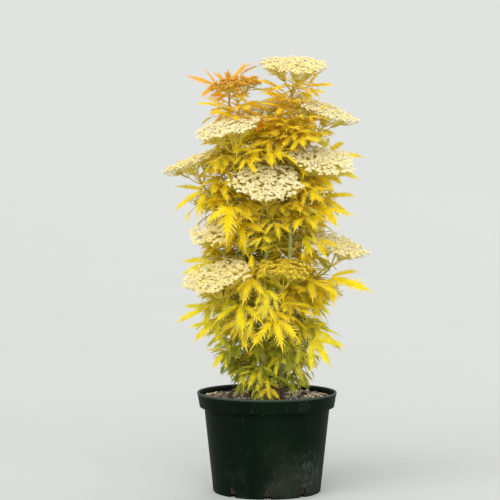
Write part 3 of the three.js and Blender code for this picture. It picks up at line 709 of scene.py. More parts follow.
def pot_finish():
    """Dark moulded plastic with dust low down, fine scuffs and a painted highlight along the rim."""
    finish = Finish("dark_moulded_plastic")
    height = finish.height()
    cloud = finish.noise(7.0, 5.0, 0.6)
    grain = finish.noise(900.0, 2.0)
    rubs = finish.noise(1.0, 5.0, 0.65, finish.stretched((26.0, 26.0, 3.0)))
    scuffs = finish.between(finish.noise(1.0, 3.0, 0.6, finish.stretched((240.0, 240.0, 18.0))), 0.62, 0.72)
    fleck = 1 - finish.between(finish.cells(150.0), 0.05, 0.1)
    some = finish.between(finish.noise(22.0, 2.0), 0.56, 0.64)
    dust = finish.between(cloud, 0.46, 0.74) * (1 - finish.between(height, 0.02, 0.15))
    # A painted highlight: a lighter grey band along the top of the rim.
    rim_highlight = finish.between(height, 0.1945, 0.1995)
    smear = finish.near(SMEAR_PLACE, 0.012, 0.06) * finish.between(finish.noise(70.0, 5.0, 0.7), 0.42, 0.7)
    crust = finish.near(CRUST_PLACE, 0.008, 0.022) * (1 - finish.between(finish.cells(520.0), 0.16, 0.3))
    colour = finish.mix(finish.between(rubs, 0.3, 0.75), paint("051008"), paint("09190d"))
    colour = finish.mix(scuffs * 0.1, colour, paint("59635b"))
    colour = finish.mix(dust * 0.2, colour, paint("6c6b5e"))
    colour = finish.mix(fleck * some * 0.6, colour, paint("a9a796"))
    colour = finish.mix(smear * 0.45, colour, paint("566160"))
    colour = finish.mix(crust * 0.5, colour, paint("8e988c"))
    # The rim's painted highlight, mixed in as a lighter grey.
    colour = finish.mix(rim_highlight * 0.5, colour, paint("566058"))
    relief = finish.bump(grain + 2.0 * scuffs, 0.0002, 0.35)
    roughness = 0.4 + 0.2 * rubs + 0.3 * dust
    return finish.surface(colour, roughness, relief, 0.04)


def soil_finish():
    finish = Finish("damp_compost")
    crumbs = finish.noise(150.0, 6.0, 0.7)
    lumps = finish.cells(190.0)
    colour = finish.mix(finish.between(crumbs, 0.35, 0.68), paint("1e1814"), paint("50443a"))
    colour = finish.mix(finish.between(finish.noise(310.0, 2.0), 0.64, 0.7) * 0.7, colour, paint("a38a6c"))
    relief = finish.bump(crumbs + 0.7 * lumps, 0.004, 1.0)
    return finish.surface(colour, 0.92, relief)


def chip_finish(name, dark, light):
    finish = Finish(name)
    grain = finish.noise(1.0, 5.0, 0.65, finish.stretched((240.0, 520.0, 620.0)))
    colour = finish.mix(finish.between(grain, 0.34, 0.66), paint(dark), paint(light))
    relief = finish.bump(grain, 0.0014, 0.9)
    return finish.surface(colour, 0.85, relief)


def floor_finish():
    finish = Finish("pale_floor")
    tone = finish.mix(finish.noise(1.6, 3.0), paint("afb0af"), paint("b3b5b3"))
    relief = finish.bump(finish.noise(90.0, 3.0), 0.0006, 0.2)
    return finish.surface(tone, 0.8, relief)


def add_tubes(heap, paths, radii, sides):
    """Closed tubes: each row of paths is one tube, with a radius at each of its points."""
    paths = np.asarray(paths, float)
    count, rings, _ = paths.shape
    tangents = unit(np.gradient(paths, axis=1))
    mean = unit(tangents.mean(axis=1))
    aside = np.where(np.abs(mean[:, 2:3]) > 0.8, [[1.0, 0.0, 0.0]], [[0.0, 0.0, 1.0]])
    across = unit(np.cross(tangents, aside[:, None, :]))
    over = np.cross(tangents, across)
    angles = steps_round(sides)
    radii = np.broadcast_to(radii, (count, rings))[:, :, None, None]
    spokes = across[:, :, None, :] * np.cos(angles)[:, None] + over[:, :, None, :] * np.sin(angles)[:, None]
    points = paths[:, :, None, :] + radii * spokes
    walls, ends = ring_faces(rings, sides)
    shift = (np.arange(count) * rings * sides)[:, None, None]
    heap.add(points, (walls[None] + shift).reshape(-1, 4), more=(ends[None] + shift).reshape(-1, 3))


def add_threads(heap, starts, ends):
    """The flowers' own fine stalks: slim three-sided cones, widest under the flower."""
    ahead = unit(ends - starts)
    aside = unit(np.cross(ahead, [0.3, 0.5, 0.81]))
    over = np.cross(ahead, aside)
    points = [starts]
    for angle in steps_round(3):
        points.append(ends + THREAD_RADIUS * (aside * math.cos(angle) + over * math.sin(angle)))
    faces = np.array([(0, 2, 1), (0, 3, 2), (0, 1, 3)])
    shift = 4 * np.arange(len(starts))[:, None, None]
    heap.add(np.stack(points, axis=1), (faces[None] + shift).reshape(-1, 3))


def cane_corners(cane):
    """The corners of the curve that a cane follows."""
    low = SOIL_TOP - CANE_SUNK
    tip = cane["tip"]
    return [
        (*cane["foot"], low),
        (*cane["bow"], lerp(low, tip[2], 1 / 3)),
        (*cane["bow"], lerp(low, tip[2], 2 / 3)),
        tip,
    ]


def cane_point(cane, height):
    """The point of a cane at a height."""
    corners = cane_corners(cane)
    low, high = 0.0, 1.0
    for _ in range(24):
        middle = (low + high) / 2
        if bezier(corners, middle)[0][2] < height:
            low = middle
        else:
            high = middle
    return bezier(corners, low)[0]


# Side shoots and leaves, worked out by the same rule as in the part's source.
def leafy_shoots():
    """Leafy shoots up a spiral, each on the cane that faces its way best."""
    counts = [0] * len(CANES)
    shoots = []
    for step in range(LEAFY_COUNT):
        node = lerp(LEAFY_FOOT, LEAFY_TOP, step / (LEAFY_COUNT - 1))
        heading = LEAFY_START + GOLDEN_ANGLE * step
        outward = compass(math.radians(heading))
        best, index = -math.inf, 0
        for i, cane in enumerate(CANES):
            if cane["tip"][2] <= node + 20 or cane["name"] == "cane_middle":
                continue
            facing = float(unit(cane_point(cane, node) * [1, 1, 0]) @ outward)
            if facing > best:
                best, index = facing, i
        counts[index] += 1
        low_size = lerp(LOW_SIZE, 1.0, ramp(node, LEAFY_FOOT, FULL_SIZE_FROM))
        high_size = lerp(1.0, HIGH_SIZE, ramp(node, FULL_SIZE_TO, LEAFY_TOP))
        shoots.append(dict(
            name=f"{CANES[index]['name'].replace('cane', 'leaves')}_{counts[index]}",
            cane=index,
            node=node,
            tip=cane_point(CANES[index], node) + 12 * outward + 30 * UP,
            arrive=0.5 * outward + 0.85 * UP,
            size=low_size * high_size,
            leaves=[(heading + turn, 0) for turn in LEAFY_TURNS],
            bloom=None,
        ))
    return shoots


def leaf_places(flowering, count):
    """Where the main leaves stand along a side shoot, in shares of its length."""
    first, step = FLOWER_LEAF_STEPS if flowering else LEAFY_LEAF_STEPS
    return [first + step * i for i in range(count)]


def shoot_lines(shoot, seed):
    """The corners of the stem's curve, the flower head, and each leaf's root, size and heading."""
    draws = Draws(seed)
    cane = CANES[shoot["cane"]]
    on_tip = shoot["node"] is None
    start = np.array(cane["tip"], float) if on_tip else cane_point(cane, shoot["node"])
    head = None
    if "head" in shoot:
        turn = 2 * math.pi * draws.next()
        right, front = [math.radians(lean) for lean in shoot["lean"]]
        normal = unit([math.tan(right), -math.tan(front), 1.0])
        centre = np.array(shoot["head"], float)
        breadth = shoot["breadth"]
        hub = centre - HUB_DEPTH * breadth * normal
        head = dict(turn=turn, normal=normal, centre=centre, hub=hub, breadth=breadth, bloom=shoot["bloom"])
    end = head["hub"] if head else np.array(shoot["tip"], float)
    arrive = head["normal"] if head else np.array(shoot.get("arrive", UP), float)
    bend = 0.35 * np.linalg.norm(end - start)
    outward = unit((end - start) * [1, 1, 0])
    if on_tip:
        corners = cane_corners(cane)
        leave = unit(np.array(corners[3]) - np.array(corners[2]))
    else:
        leave = 0.8 * outward + 0.6 * UP
    stem = [start, start + leave * bend, end - arrive * bend, end]
    places = leaf_places(head is not None, len(shoot["leaves"]))
    leaves = []
    for place, (turn, lift) in zip(places, shoot["leaves"]):
        root = bezier(stem, place)[0]
        size = shoot.get("size", 1.0) * draws.vary(1, 0.2)
        heading = math.radians(draws.vary(turn, 24))
        seed = math.floor(1e6 * draws.next())
        leaves.append(dict(root=root, size=size, heading=heading, lift=lift, seed=seed))
    return stem, head, leaves


def leaf_lines(leaf):
    """A leaf's stalk and the way each of its leaflets goes, as in the part's source."""
    draws = Draws(leaf["seed"])
    height = leaf["root"][2]
    usual = lerp(SOIL_PITCH, TOP_PITCH, (height - SOIL_TOP) / (CANE_TOP - SOIL_TOP))
    pitch = math.radians(draws.vary(usual + leaf["lift"], PITCH_WIDTH))
    fall = math.radians(draws.vary(FALL, FALL_WIDTH))
    face_width = PROUD_FACE_WIDTH if "roll" in leaf else FACE_WIDTH
    roll = math.radians(draws.vary(leaf.get("roll", 0), face_width))
    length = STALK_LENGTH * leaf.get("stalk", 1.0) * leaf["size"] * draws.vary(1, LENGTH_WIDTH)
    ahead = compass(leaf["heading"])
    level = np.cross(ahead, UP)

    def point(share):
        now = pitch - fall * share
        out = (math.sin(pitch) - math.sin(now)) / fall
        rise = (math.cos(now) - math.cos(pitch)) / fall
        return leaf["root"] + ahead * length * out + UP * length * rise

    def stand(share):
        now = pitch - fall * share
        forward = ahead * math.cos(now) + UP * math.sin(now)
        side = turned(level, forward, roll)
        return forward, side, np.cross(side, forward)

    def lobe(share, turn, blade):
        forward, side, top = stand(share)
        direction = forward * math.cos(turn) + side * math.sin(turn)
        direction = direction - UP * draws.vary(LOBE_DROOP, DROOP_WIDTH)
        # A leaflet dips only a little below its leaf.
        direction = direction + top * max(0.0, -LEAST_DIP - float(direction @ top))
        return dict(base=point(share), ahead=unit(direction), top=top, length=blade)

    def pair(share, angle, reach):
        both = []
        for hand in (-1, 1):
            turn = hand * math.radians(draws.vary(angle, ANGLE_WIDTH))
            blade = LOBE_LENGTH * leaf["size"] * reach * draws.vary(1, LENGTH_WIDTH)
            both.append(lobe(share, turn, blade))
        return both

    lobes = []
    for share, angle, reach in zip(PAIR_PLACES, PAIR_ANGLES, PAIR_LENGTHS):
        lobes += pair(share, angle, reach)
    lobes.append(lobe(1.0, 0.0, LOBE_LENGTH * leaf["size"] * draws.vary(END_LOBE_LENGTH, END_LENGTH_WIDTH)))
    if draws.next() < THIRD_PAIR_CHANCE:
        lobes += pair(THIRD_PAIR_PLACE, THIRD_PAIR_ANGLE, THIRD_PAIR_LENGTH)
    stalk = np.array([point(share) for share in np.linspace(0, 1.06, len(STALK_TAPER))])
    return stalk, lobes


def blade_shape(seed):
    """One leaflet, flat and 1 long: a slim blade cut into long teeth that lean towards its tip."""
    draw = np.random.default_rng(seed)
    rib = 0.03 + 0.69 * np.linspace(0, 1, TEETH + 1)

    def reach(place):
        """How far the teeth stand out from the rib."""
        return TEETH_REACH * place**0.55 * (1 - place)

    points = [(place, 0.0, 0.0) for place in rib]
    points += [(0.87, 0.0, 0.003), (1.0, draw.uniform(-0.012, 0.012), -0.012)]
    shoulder, tip = TEETH + 1, TEETH + 2
    faces, shades = [], []

    def face(corners, shade, hand):
        faces.append(corners if hand < 0 else corners[::-1])
        shades.append(shade)

    for hand in (1, -1):
        slack = draw.uniform(0.88, 1.12)
        notches = []
        for place in rib:
            notches.append(len(points))
            points.append((place, hand * (0.014 + 0.25 * reach(place) * slack), 0.01 * draw.random()))
        for k in range(TEETH):
            middle = (rib[k] + rib[k + 1]) / 2
            low, high = np.array(points[notches[k]]), np.array(points[notches[k + 1]])
            out = reach(middle) * slack * draw.uniform(0.8, 1.2)
            lean = draw.uniform(0.13, 0.2) - 0.03 * k / TEETH
            end = np.array([middle + lean, hand * out, draw.uniform(-0.035, 0.015)])
            near = lerp(low, end, 0.46) + [0.012, hand * 0.004, 0.006]
            far = lerp(high, end, 0.36) + [-0.014, 0.0, 0.0]
            first = len(points)
            points.extend([tuple(near), tuple(far), tuple(end)])
            face([k, notches[k], notches[k + 1]], 0, hand)
            face([k, notches[k + 1], k + 1], 0, hand)
            face([notches[k], first, first + 1], 0, hand)
            face([notches[k], first + 1, notches[k + 1]], 0, hand)
            face([first, first + 2, first + 1], 1, hand)
        side = len(points)
        points.append((0.87, hand * 0.017, 0.0))
        face([TEETH, notches[TEETH], side], 0, hand)
        face([TEETH, side, shoulder], 0, hand)
        face([shoulder, side, tip], 1, hand)
    return np.array(points), np.array(faces), np.array(shades)


def lay_blades(heap, shape, blades):
    """Lays a leaflet shape on each blade: bent down along an arc, folded, twisted and swayed."""
    points, faces, shades = shape
    along, across, lift = points.T
    column = {key: np.array([blade[key] for blade in blades]) for key in blades[0]}
    keys = ("length", "width", "bend", "fold", "twist", "sway", "curl")
    length, width, bend, fold, twist, sway, curl = [column[key][:, None] for key in keys]
    side = unit(np.cross(column["ahead"], column["top"]))
    top = np.cross(side, column["ahead"])
    # The blade sets out above its chord by half of its bend.
    half = bend / 2
    ahead = column["ahead"] * np.cos(half) + top * np.sin(half)
    top = np.cross(side, ahead)
    angle = bend * along
    forward = np.sin(angle) / bend * length
    drop = -(1 - np.cos(angle)) / bend * length
    out = across * width * length * np.cos(fold)
    rise = np.abs(across) * width * length * np.sin(fold)
    rise = rise - curl * length * np.abs(across) ** 1.5 + lift * length
    turn = twist * along
    slide = sway * length * along**2
    tangent = ahead[:, None, :]
    normal = tangent * np.sin(angle)[:, :, None] + top[:, None, :] * np.cos(angle)[:, :, None]
    cos, sin = np.cos(turn)[:, :, None], np.sin(turn)[:, :, None]
    broad = side[:, None, :] * cos + normal * sin
    thick = normal * cos - side[:, None, :] * sin
    placed = column["base"][:, None, :] + tangent * forward[:, :, None] + top[:, None, :] * drop[:, :, None]
    placed = placed + broad * out[:, :, None] + thick * rise[:, :, None]
    placed = rest_on_soil((placed + side[:, None, :] * slide[:, :, None]).reshape(-1, 3))
    step = len(points)
    index = (faces[None] + (np.arange(len(blades)) * step)[:, None, None]).reshape(-1, 3)
    heap.add(placed, index, np.tile(shades, len(blades)))


def rest_on_soil(points):
    """Lifts points that would sink into the growing medium or the rim."""
    reach = np.hypot(points[:, 0], points[:, 1])
    over_rim = np.where(reach < RIM_RADIUS + 2, POT_HEIGHT + RIM_CLEARANCE, -math.inf)
    ground = np.where(reach < SOIL_RADIUS + 1, SOIL_TOP + SOIL_CLEARANCE, over_rim)
    points[:, 2] += 0.97 * np.maximum(ground - points[:, 2], 0.0)
    return points


def deal(zone, draw):
    """A kind of leaf for a part of the crown."""
    share = draw.random()
    for kind, part in DEALS[zone].items():
        share -= part
        if share <= 0:
            return kind
    return kind


def zone_of(root, young=False):
    """The part of the crown that a leaf's root stands in."""
    height = root[2]
    if young:
        return "young"
    if height > TOP_FOOT:
        return "top"
    if math.hypot(root[0], root[1]) < INSIDE_RADIUS:
        return "inside" if height < UPPER_FOOT else "high inside"
    if height < BASE_TOP:
        return "base"
    if height < LOW_TOP:
        return "low"
    return "outside" if height < UPPER_FOOT else "upper"


def kept_in_reach(lobe, draw):
    """Shortens a leaflet to the crown's reach, and says whether enough of it is left."""
    tip = lobe["base"] + lobe["ahead"] * lobe["length"]
    room = np.interp(tip[2], CROWN_HEIGHTS, CROWN_REACHES) * draw.uniform(*RAGGED)
    lobe["length"] -= max(0.0, math.hypot(tip[0], tip[1]) - room)
    return lobe["length"] > LEAST_LEAFLET


def aimed(leaf, tip):
    """The leaf with the heading, lift and size that bring its end leaflet to the tip."""
    way = np.array(tip, float) - leaf["root"]
    climb = math.atan2(way[2], math.hypot(way[0], way[1]))
    leaf = dict(leaf, heading=math.atan2(way[1], way[0]), size=1.0)
    low, high = -100.0, 120.0
    for _ in range(20):
        leaf["lift"] = (low + high) / 2
        end_lobe = leaf_lines(leaf)[1][2 * len(PAIR_PLACES)]
        reach = end_lobe["base"] + end_lobe["ahead"] * end_lobe["length"] - leaf["root"]
        leaf["size"] *= np.linalg.norm(way) / np.linalg.norm(reach)
        if math.atan2(reach[2], math.hypot(reach[0], reach[1])) < climb:
            low = leaf["lift"]
        else:
            high = leaf["lift"]
    return leaf


class Foliage:
    """All leaves of the plant, gathered by kind."""

    def __init__(self, heads):
        self.heads = heads
        self.blades = {kind: [[] for _ in range(BLADE_SHAPES)] for kind in LEAF_KINDS}
        self.stalks = []

    def add_leaf(self, leaf, kind):
        draw = np.random.default_rng(leaf["seed"] + 7)
        stalk, lobes = leaf_lines(leaf)
        slim = PROUD_SLIMNESS
        if "roll" not in leaf:
            slim = 1.0
            lobes = [lobe for lobe in lobes if kept_in_reach(lobe, draw) and not self.in_the_way(lobe)]
        if len(lobes) < 2:
            return
        self.stalks.append((stalk, STALK_RADIUS * leaf["size"] ** 0.5))
        for lobe in lobes:
            shape = int(draw.integers(BLADE_SHAPES))
            lobe.update(
                width=draw.uniform(0.78, 1.04) * slim,
                bend=draw.uniform(0.15, 0.8),
                fold=draw.uniform(0.1, 0.5),
                twist=draw.normal(0, 0.4),
                sway=draw.normal(0, 0.06),
                curl=draw.uniform(0.0, 0.6),
            )
            lobe["base"] = lobe["base"] + 2.0 * lobe["ahead"]
            self.blades[kind][shape].append(lobe)

    def in_the_way(self, lobe):
        """Would this leaflet stand over a flower head, or in the crown's open place?"""
        along = np.array(TRIED_ALONG)[:, None] * lobe["length"]
        points = lobe["base"] + lobe["ahead"] * along
        left, right, foot, top = OPEN_PLACE
        x, y, z = points.T
        if np.any((y < OPEN_BEHIND) & (x > left) & (x < right) & (z > foot) & (z < top)):
            return True
        for head in self.heads:
            offset = points - head["centre"]
            up = offset @ head["normal"]
            out = np.linalg.norm(offset - up[:, None] * head["normal"], axis=1)
            breadth = head["breadth"]
            if np.any((up > 0) & (up < CLEAR_HEIGHT * breadth) & (out < CLEAR_WIDTH * breadth)):
                return True
        return False

    def pieces(self, masses):
        shapes = [blade_shape(BLADE_SEED + i) for i in range(BLADE_SHAPES)]
        for kind in LEAF_KINDS:
            heap = Heap()
            for shape, blades in zip(shapes, self.blades[kind]):
                if blades:
                    lay_blades(heap, shape, blades)
            slot = "young" if kind == "orange" else "foliage"
            heap.piece(f"foliage_{kind}", [leaf_finish(kind), teeth_finish(kind)], slot, masses)
        heap = Heap()
        paths, radii = columns(self.stalks)
        add_tubes(heap, paths, radii[:, None] * STALK_TAPER, 4)
        finish = stalk_finish("leaf_stalk", "dccb44", "cfa83a")
        heap.piece("leaf_stalks", [finish], "foliage", smooth=True)


# Flower heads.
def floret_shape(seed):
    """Five blunt petals round a small heart with five anthers, 1 in radius."""
    draw = np.random.default_rng(seed)
    points, faces, shades = [], [], []
    for petal in range(5):
        heading = 2 * math.pi * petal / 5 + draw.uniform(-0.1, 0.1)
        reach = draw.uniform(0.9, 1.06)
        drop = draw.uniform(-0.22, 0.1)
        right = [(0.55, 0.3, 0.1), (0.92, 0.2, drop)]
        left = [(out, -aside, up) for out, aside, up in right[::-1]]
        outline = [(0.14, 0.0, 0.06), *right, *left]
        first = len(points)
        for out, aside, up in outline:
            angle = heading + math.atan2(aside, out)
            radius = math.hypot(out, aside) * reach
            points.append((radius * math.cos(angle), radius * math.sin(angle), up))
        faces += [(first, first + 4, first + 3), (first, first + 3, first + 2), (first, first + 2, first + 1)]
        shades += [0, 0, 0]
    heart = len(points)
    points.append((0.0, 0.0, 0.34))
    for side in range(3):
        angle = 2 * math.pi * side / 3
        points.append((0.22 * math.cos(angle), 0.22 * math.sin(angle), 0.05))
    for side in range(3):
        faces.append((heart, heart + 1 + side, heart + 1 + (side + 1) % 3))
        shades.append(1)
    for anther in range(5):
        angle = 2 * math.pi * (anther + 0.5) / 5 + draw.uniform(-0.1, 0.1)
        out = draw.uniform(0.5, 0.62)
        centre = np.array([out * math.cos(angle), out * math.sin(angle), draw.uniform(0.3, 0.45)])
        first = len(points)
        for x, y, z in ((-0.11, -0.06, 0), (0.11, -0.06, 0), (0, 0.12, 0.08)):
            points.append(tuple(centre + [x, y, z]))
        faces.append((first, first + 1, first + 2))
        shades.append(2)
    return np.array(points), np.array(faces), np.array(shades)


def bud_shape():
    """A closed flower: a bead with five sides, 1 in radius."""
    points = [(0.0, 0.0, -1.0)]
    for radius, up in ((0.86, -0.3), (0.78, 0.5)):
        points += [(radius * math.cos(angle), radius * math.sin(angle), up) for angle in steps_round(5)]
    points.append((0.0, 0.0, 1.0))
    faces = []
    for i in range(5):
        after = (i + 1) % 5
        faces += [(0, 1 + after, 1 + i), (6 + i, 6 + after, 11)]
        faces += [(1 + i, 1 + after, 6 + after), (1 + i, 6 + after, 6 + i)]
    return np.array(points), np.array(faces), np.zeros(len(faces), int)


def lay_shape(heap, shape, centres, normals, spins, radii, only=None, shade=0):
    """Copies of a small shape, each turned to its own normal, or only its faces of one kind."""
    points, faces, shades = shape
    if only is not None:
        faces = faces[shades == only]
    normals = unit(normals)
    aside = np.where(np.abs(normals[:, 2:3]) > 0.9, [[1.0, 0.0, 0.0]], [[0.0, 0.0, 1.0]])
    east = unit(np.cross(aside, normals))
    north = np.cross(normals, east)
    cos, sin = np.cos(spins)[:, None], np.sin(spins)[:, None]
    east, north = east * cos + north * sin, north * cos - east * sin
    frames = np.stack([east, north, normals], axis=1)
    placed = centres[:, None, :] + radii[:, None, None] * np.einsum("pk,nkc->npc", points, frames)
    used = np.unique(faces)
    renumber = np.zeros(len(points), int)
    renumber[used] = np.arange(len(used))
    shift = (np.arange(len(centres)) * len(used))[:, None, None]
    heap.add(placed[:, used], (renumber[faces][None] + shift).reshape(-1, 3), shade)


def open_rise(share):
    """How high an open head's tufts stand over its middle, in shares of its breadth."""
    return 0.08 * (1 - 0.3 * share**2)


def bud_rise(share):
    """The same for a head of buds, a dome with a steep edge."""
    if share < 0.7:
        return 0.1 * (0.7 - 0.2 * (share / 0.7) ** 2)
    return 0.1 * (0.5 - 0.8 * ((share - 0.7) / 0.3) ** 1.4)


class Blossom:
    """All flower heads of the plant, gathered by kind of petal."""

    def __init__(self):
        self.florets = {"white": [], "cream": []}
        self.buds = {"white": [], "cream": [], "orange": [], "golden": []}
        self.rays = []
        self.threads = []

    def add_head(self, head, seed):
        draw = np.random.default_rng(seed)
        normal = head["normal"]
        axis = unit(np.cross(UP, normal))
        tilt = math.acos(float(normal @ UP))

        def stand(offset):
            """A point or direction of the upright head, leaned over with it."""
            return turned(np.array(offset, float), axis, tilt)

        places, outwards = self.tuft_places(head, seed, stand, draw)
        seats = places - outwards * SEAT_DEPTH
        self.add_rays(head, stand, places, seats)
        for place, outward, seat in zip(places, outwards, seats):
            self.add_tuft(head["bloom"], place, outward, seat, draw)

    def tuft_places(self, head, seed, stand, draw):
        """Tufts along a golden spiral, within a ragged edge and with gaps: their places and directions."""
        closed = "bud" in head["bloom"]
        form = BUD_HEAD if closed else OPEN_HEAD
        rise = bud_rise if closed else open_rise
        breadth, turn = head["breadth"], head["turn"]
        count = round(form["tufts"] * (breadth / USUAL_BREADTH) ** 2)
        places, outwards = [], []
        for i in range(count):
            share = math.sqrt((i + 0.6) / count) * 0.97
            angle = math.radians(GOLDEN_ANGLE) * i + turn
            ragged = math.sin(7 * (angle - turn) + turn) * math.cos(4 * (angle - turn) - turn)
            swell = 1 + 0.09 * math.cos(5 * (angle - turn)) + 0.1 * ragged
            radius = share * swell * breadth / 2 + draw.normal(0, 1.4)
            across, along = math.cos(angle), math.sin(angle)
            flat = np.array([[radius * across, radius * along]])
            if ripple(flat, GAP_WAVELENGTH, seed, 12)[0] < form["gap"] and share > 0.2:
                continue
            height = breadth * rise(share) + draw.normal(0, form["scatter"])
            places.append(head["centre"] + stand([radius * across, radius * along, height]))
            lean = form["lean"] * share
            outwards.append(unit(stand([lean * across, lean * along, 1.0])))
        return np.array(places), np.array(outwards)

    def add_rays(self, head, stand, places, seats):
        """Main rays from the hub, their forks to a few tufts each, and the tufts' own rays."""
        normal, centre, turn = head["normal"], head["centre"], head["turn"]
        start = head["hub"] - 3 * normal
        forks = []
        for i in range(MAIN_RAYS):
            angle = 2 * math.pi * i / MAIN_RAYS + turn
            out = stand([math.cos(angle), math.sin(angle), 0.0])
            forks.append(lerp(start, centre + out * 0.3 * head["breadth"], 0.52) - 1.5 * UP)
        forks.append(lerp(start, centre, 0.55))
        forks = np.array(forks)
        for fork in forks:
            self.rays.append((self.bowed(start, fork, normal, 0.12), *MAIN_RAY))
        nearest = np.argmin(np.linalg.norm(seats[:, None] - forks[None], axis=2), axis=1)
        groups = {}
        for i, fork in enumerate(nearest):
            groups.setdefault(int(fork), []).append(i)
        for number, members in groups.items():
            fork = forks[number]
            members = sorted(members, key=lambda i: math.atan2(*(places[i] - fork)[:2]))
            for first in range(0, len(members), TUFTS_TO_A_FORK):
                some = members[first : first + TUFTS_TO_A_FORK]
                joint = lerp(fork, seats[some].mean(axis=0), 0.55)
                self.rays.append((self.bowed(fork, joint, normal, 0.1), *FORK_RAY))
                for i in some:
                    self.rays.append((self.bowed(joint, seats[i], normal, 0.16), *TUFT_RAY))

    def bowed(self, start, end, normal, share):
        """A ray that leaves sideways and bends up to its end."""
        sag = -normal * np.linalg.norm(end - start) * share
        t = np.linspace(0, 1, RAY_RINGS)[:, None]
        return start * (1 - t) + end * t + sag * (4 * t * (1 - t))

    def add_tuft(self, bloom, place, outward, seat, draw):
        """A tuft of flowers or buds on its seat, each on a thread of its own."""
        kind = bloom.split()[0]
        closed = "bud" in bloom
        form = BUD_HEAD if closed else OPEN_HEAD
        side = unit(np.cross(outward, [0.3, 0.7, 0.2]))
        other = np.cross(outward, side)
        count = draw.integers(*form["flowers"])
        spin = draw.uniform(0, 2 * math.pi)
        for i in range(count):
            spread = form["spread"] * math.sqrt((i + 0.35) / count)
            angle = spin + math.radians(GOLDEN_ANGLE) * i
            offset = side * math.cos(angle) + other * math.sin(angle)
            centre = place + offset * spread + outward * (draw.normal(0, 0.7) - 0.09 * spread**1.5)
            facing = unit(outward + offset * 0.16 * spread + draw.normal(0, 0.16, 3))
            self.threads.append((seat, centre - facing * 0.3))
            if closed:
                self.buds[kind].append((centre, facing, draw.uniform(*BUD_RADII)))
            elif draw.random() < LATE_BUD_CHANCE:
                self.buds[kind].append((centre, facing, LATE_BUD_RADIUS))
            else:
                self.florets[kind].append((centre, facing, draw.uniform(*FLORET_RADII)))

    def pieces(self, masses):
        shapes = [floret_shape(seed) for seed in FLORET_SEEDS]
        draw = np.random.default_rng(SPIN_SEED)
        hearts = Heap()
        petals = {
            "white": petal_finish("white_petal", "fffbe0", "fbf1c0"),
            "cream": petal_finish("cream_petal", "fff6ca", "f8eaa6"),
        }
        for kind, rows in self.florets.items():
            heap = Heap()
            centres, facings, radii = columns(rows)
            spins = draw.uniform(0, 2 * math.pi, len(rows))
            pick = np.arange(len(rows)) % len(shapes)
            for number, shape in enumerate(shapes):
                mine = pick == number
                chosen = (centres[mine], facings[mine], spins[mine], radii[mine])
                lay_shape(heap, shape, *chosen, only=0)
                lay_shape(hearts, shape, *chosen, only=1, shade=0)
                lay_shape(hearts, shape, *chosen, only=2, shade=1)
            heap.piece(f"petals_{kind}", [petals[kind]], "flower", masses)
        finishes = [bud_finish("flower_heart", "e0cc48", "c8b43c"), bud_finish("anther", "f0d870", "dcb844")]
        hearts.piece("flower_hearts", finishes, "flower")
        heap = Heap()
        finishes = [
            bud_finish("white_bud", "eee4b0", "d8cc84"),
            bud_finish("cream_bud", "e6d684", "ccc060"),
            bud_finish("orange_bud", "dca61c", "bc8412"),
            bud_finish("golden_bud", "e6cc2c", "bc9c14"),
        ]
        for number, rows in enumerate(self.buds.values()):
            centres, facings, radii = columns(rows)
            spins = draw.uniform(0, 6.28, len(rows))
            lay_shape(heap, bud_shape(), centres, facings, spins, radii, shade=number)
        heap.piece("flower_buds", finishes, "flower", smooth=True)
        heap = Heap()
        for stout, sides in ((True, 5), (False, 3)):
            rays = [ray for ray in self.rays if (ray[1] > STOUT_RAY) == stout]
            paths, low, high = columns(rays)
            radii = lerp(low[:, None], high[:, None], np.linspace(0, 1, RAY_RINGS))
            add_tubes(heap, paths, radii, sides)
        finish = stalk_finish("flower_ray", "dccc48", "d2b838")
        heap.piece("flower_rays", [finish], "flower", smooth=True)
        heap = Heap()
        add_threads(heap, *columns(self.threads))
        finish = stalk_finish("flower_thread", "e4cc4c", "d8b83c")
        heap.piece("flower_threads", [finish], "flower", smooth=True)


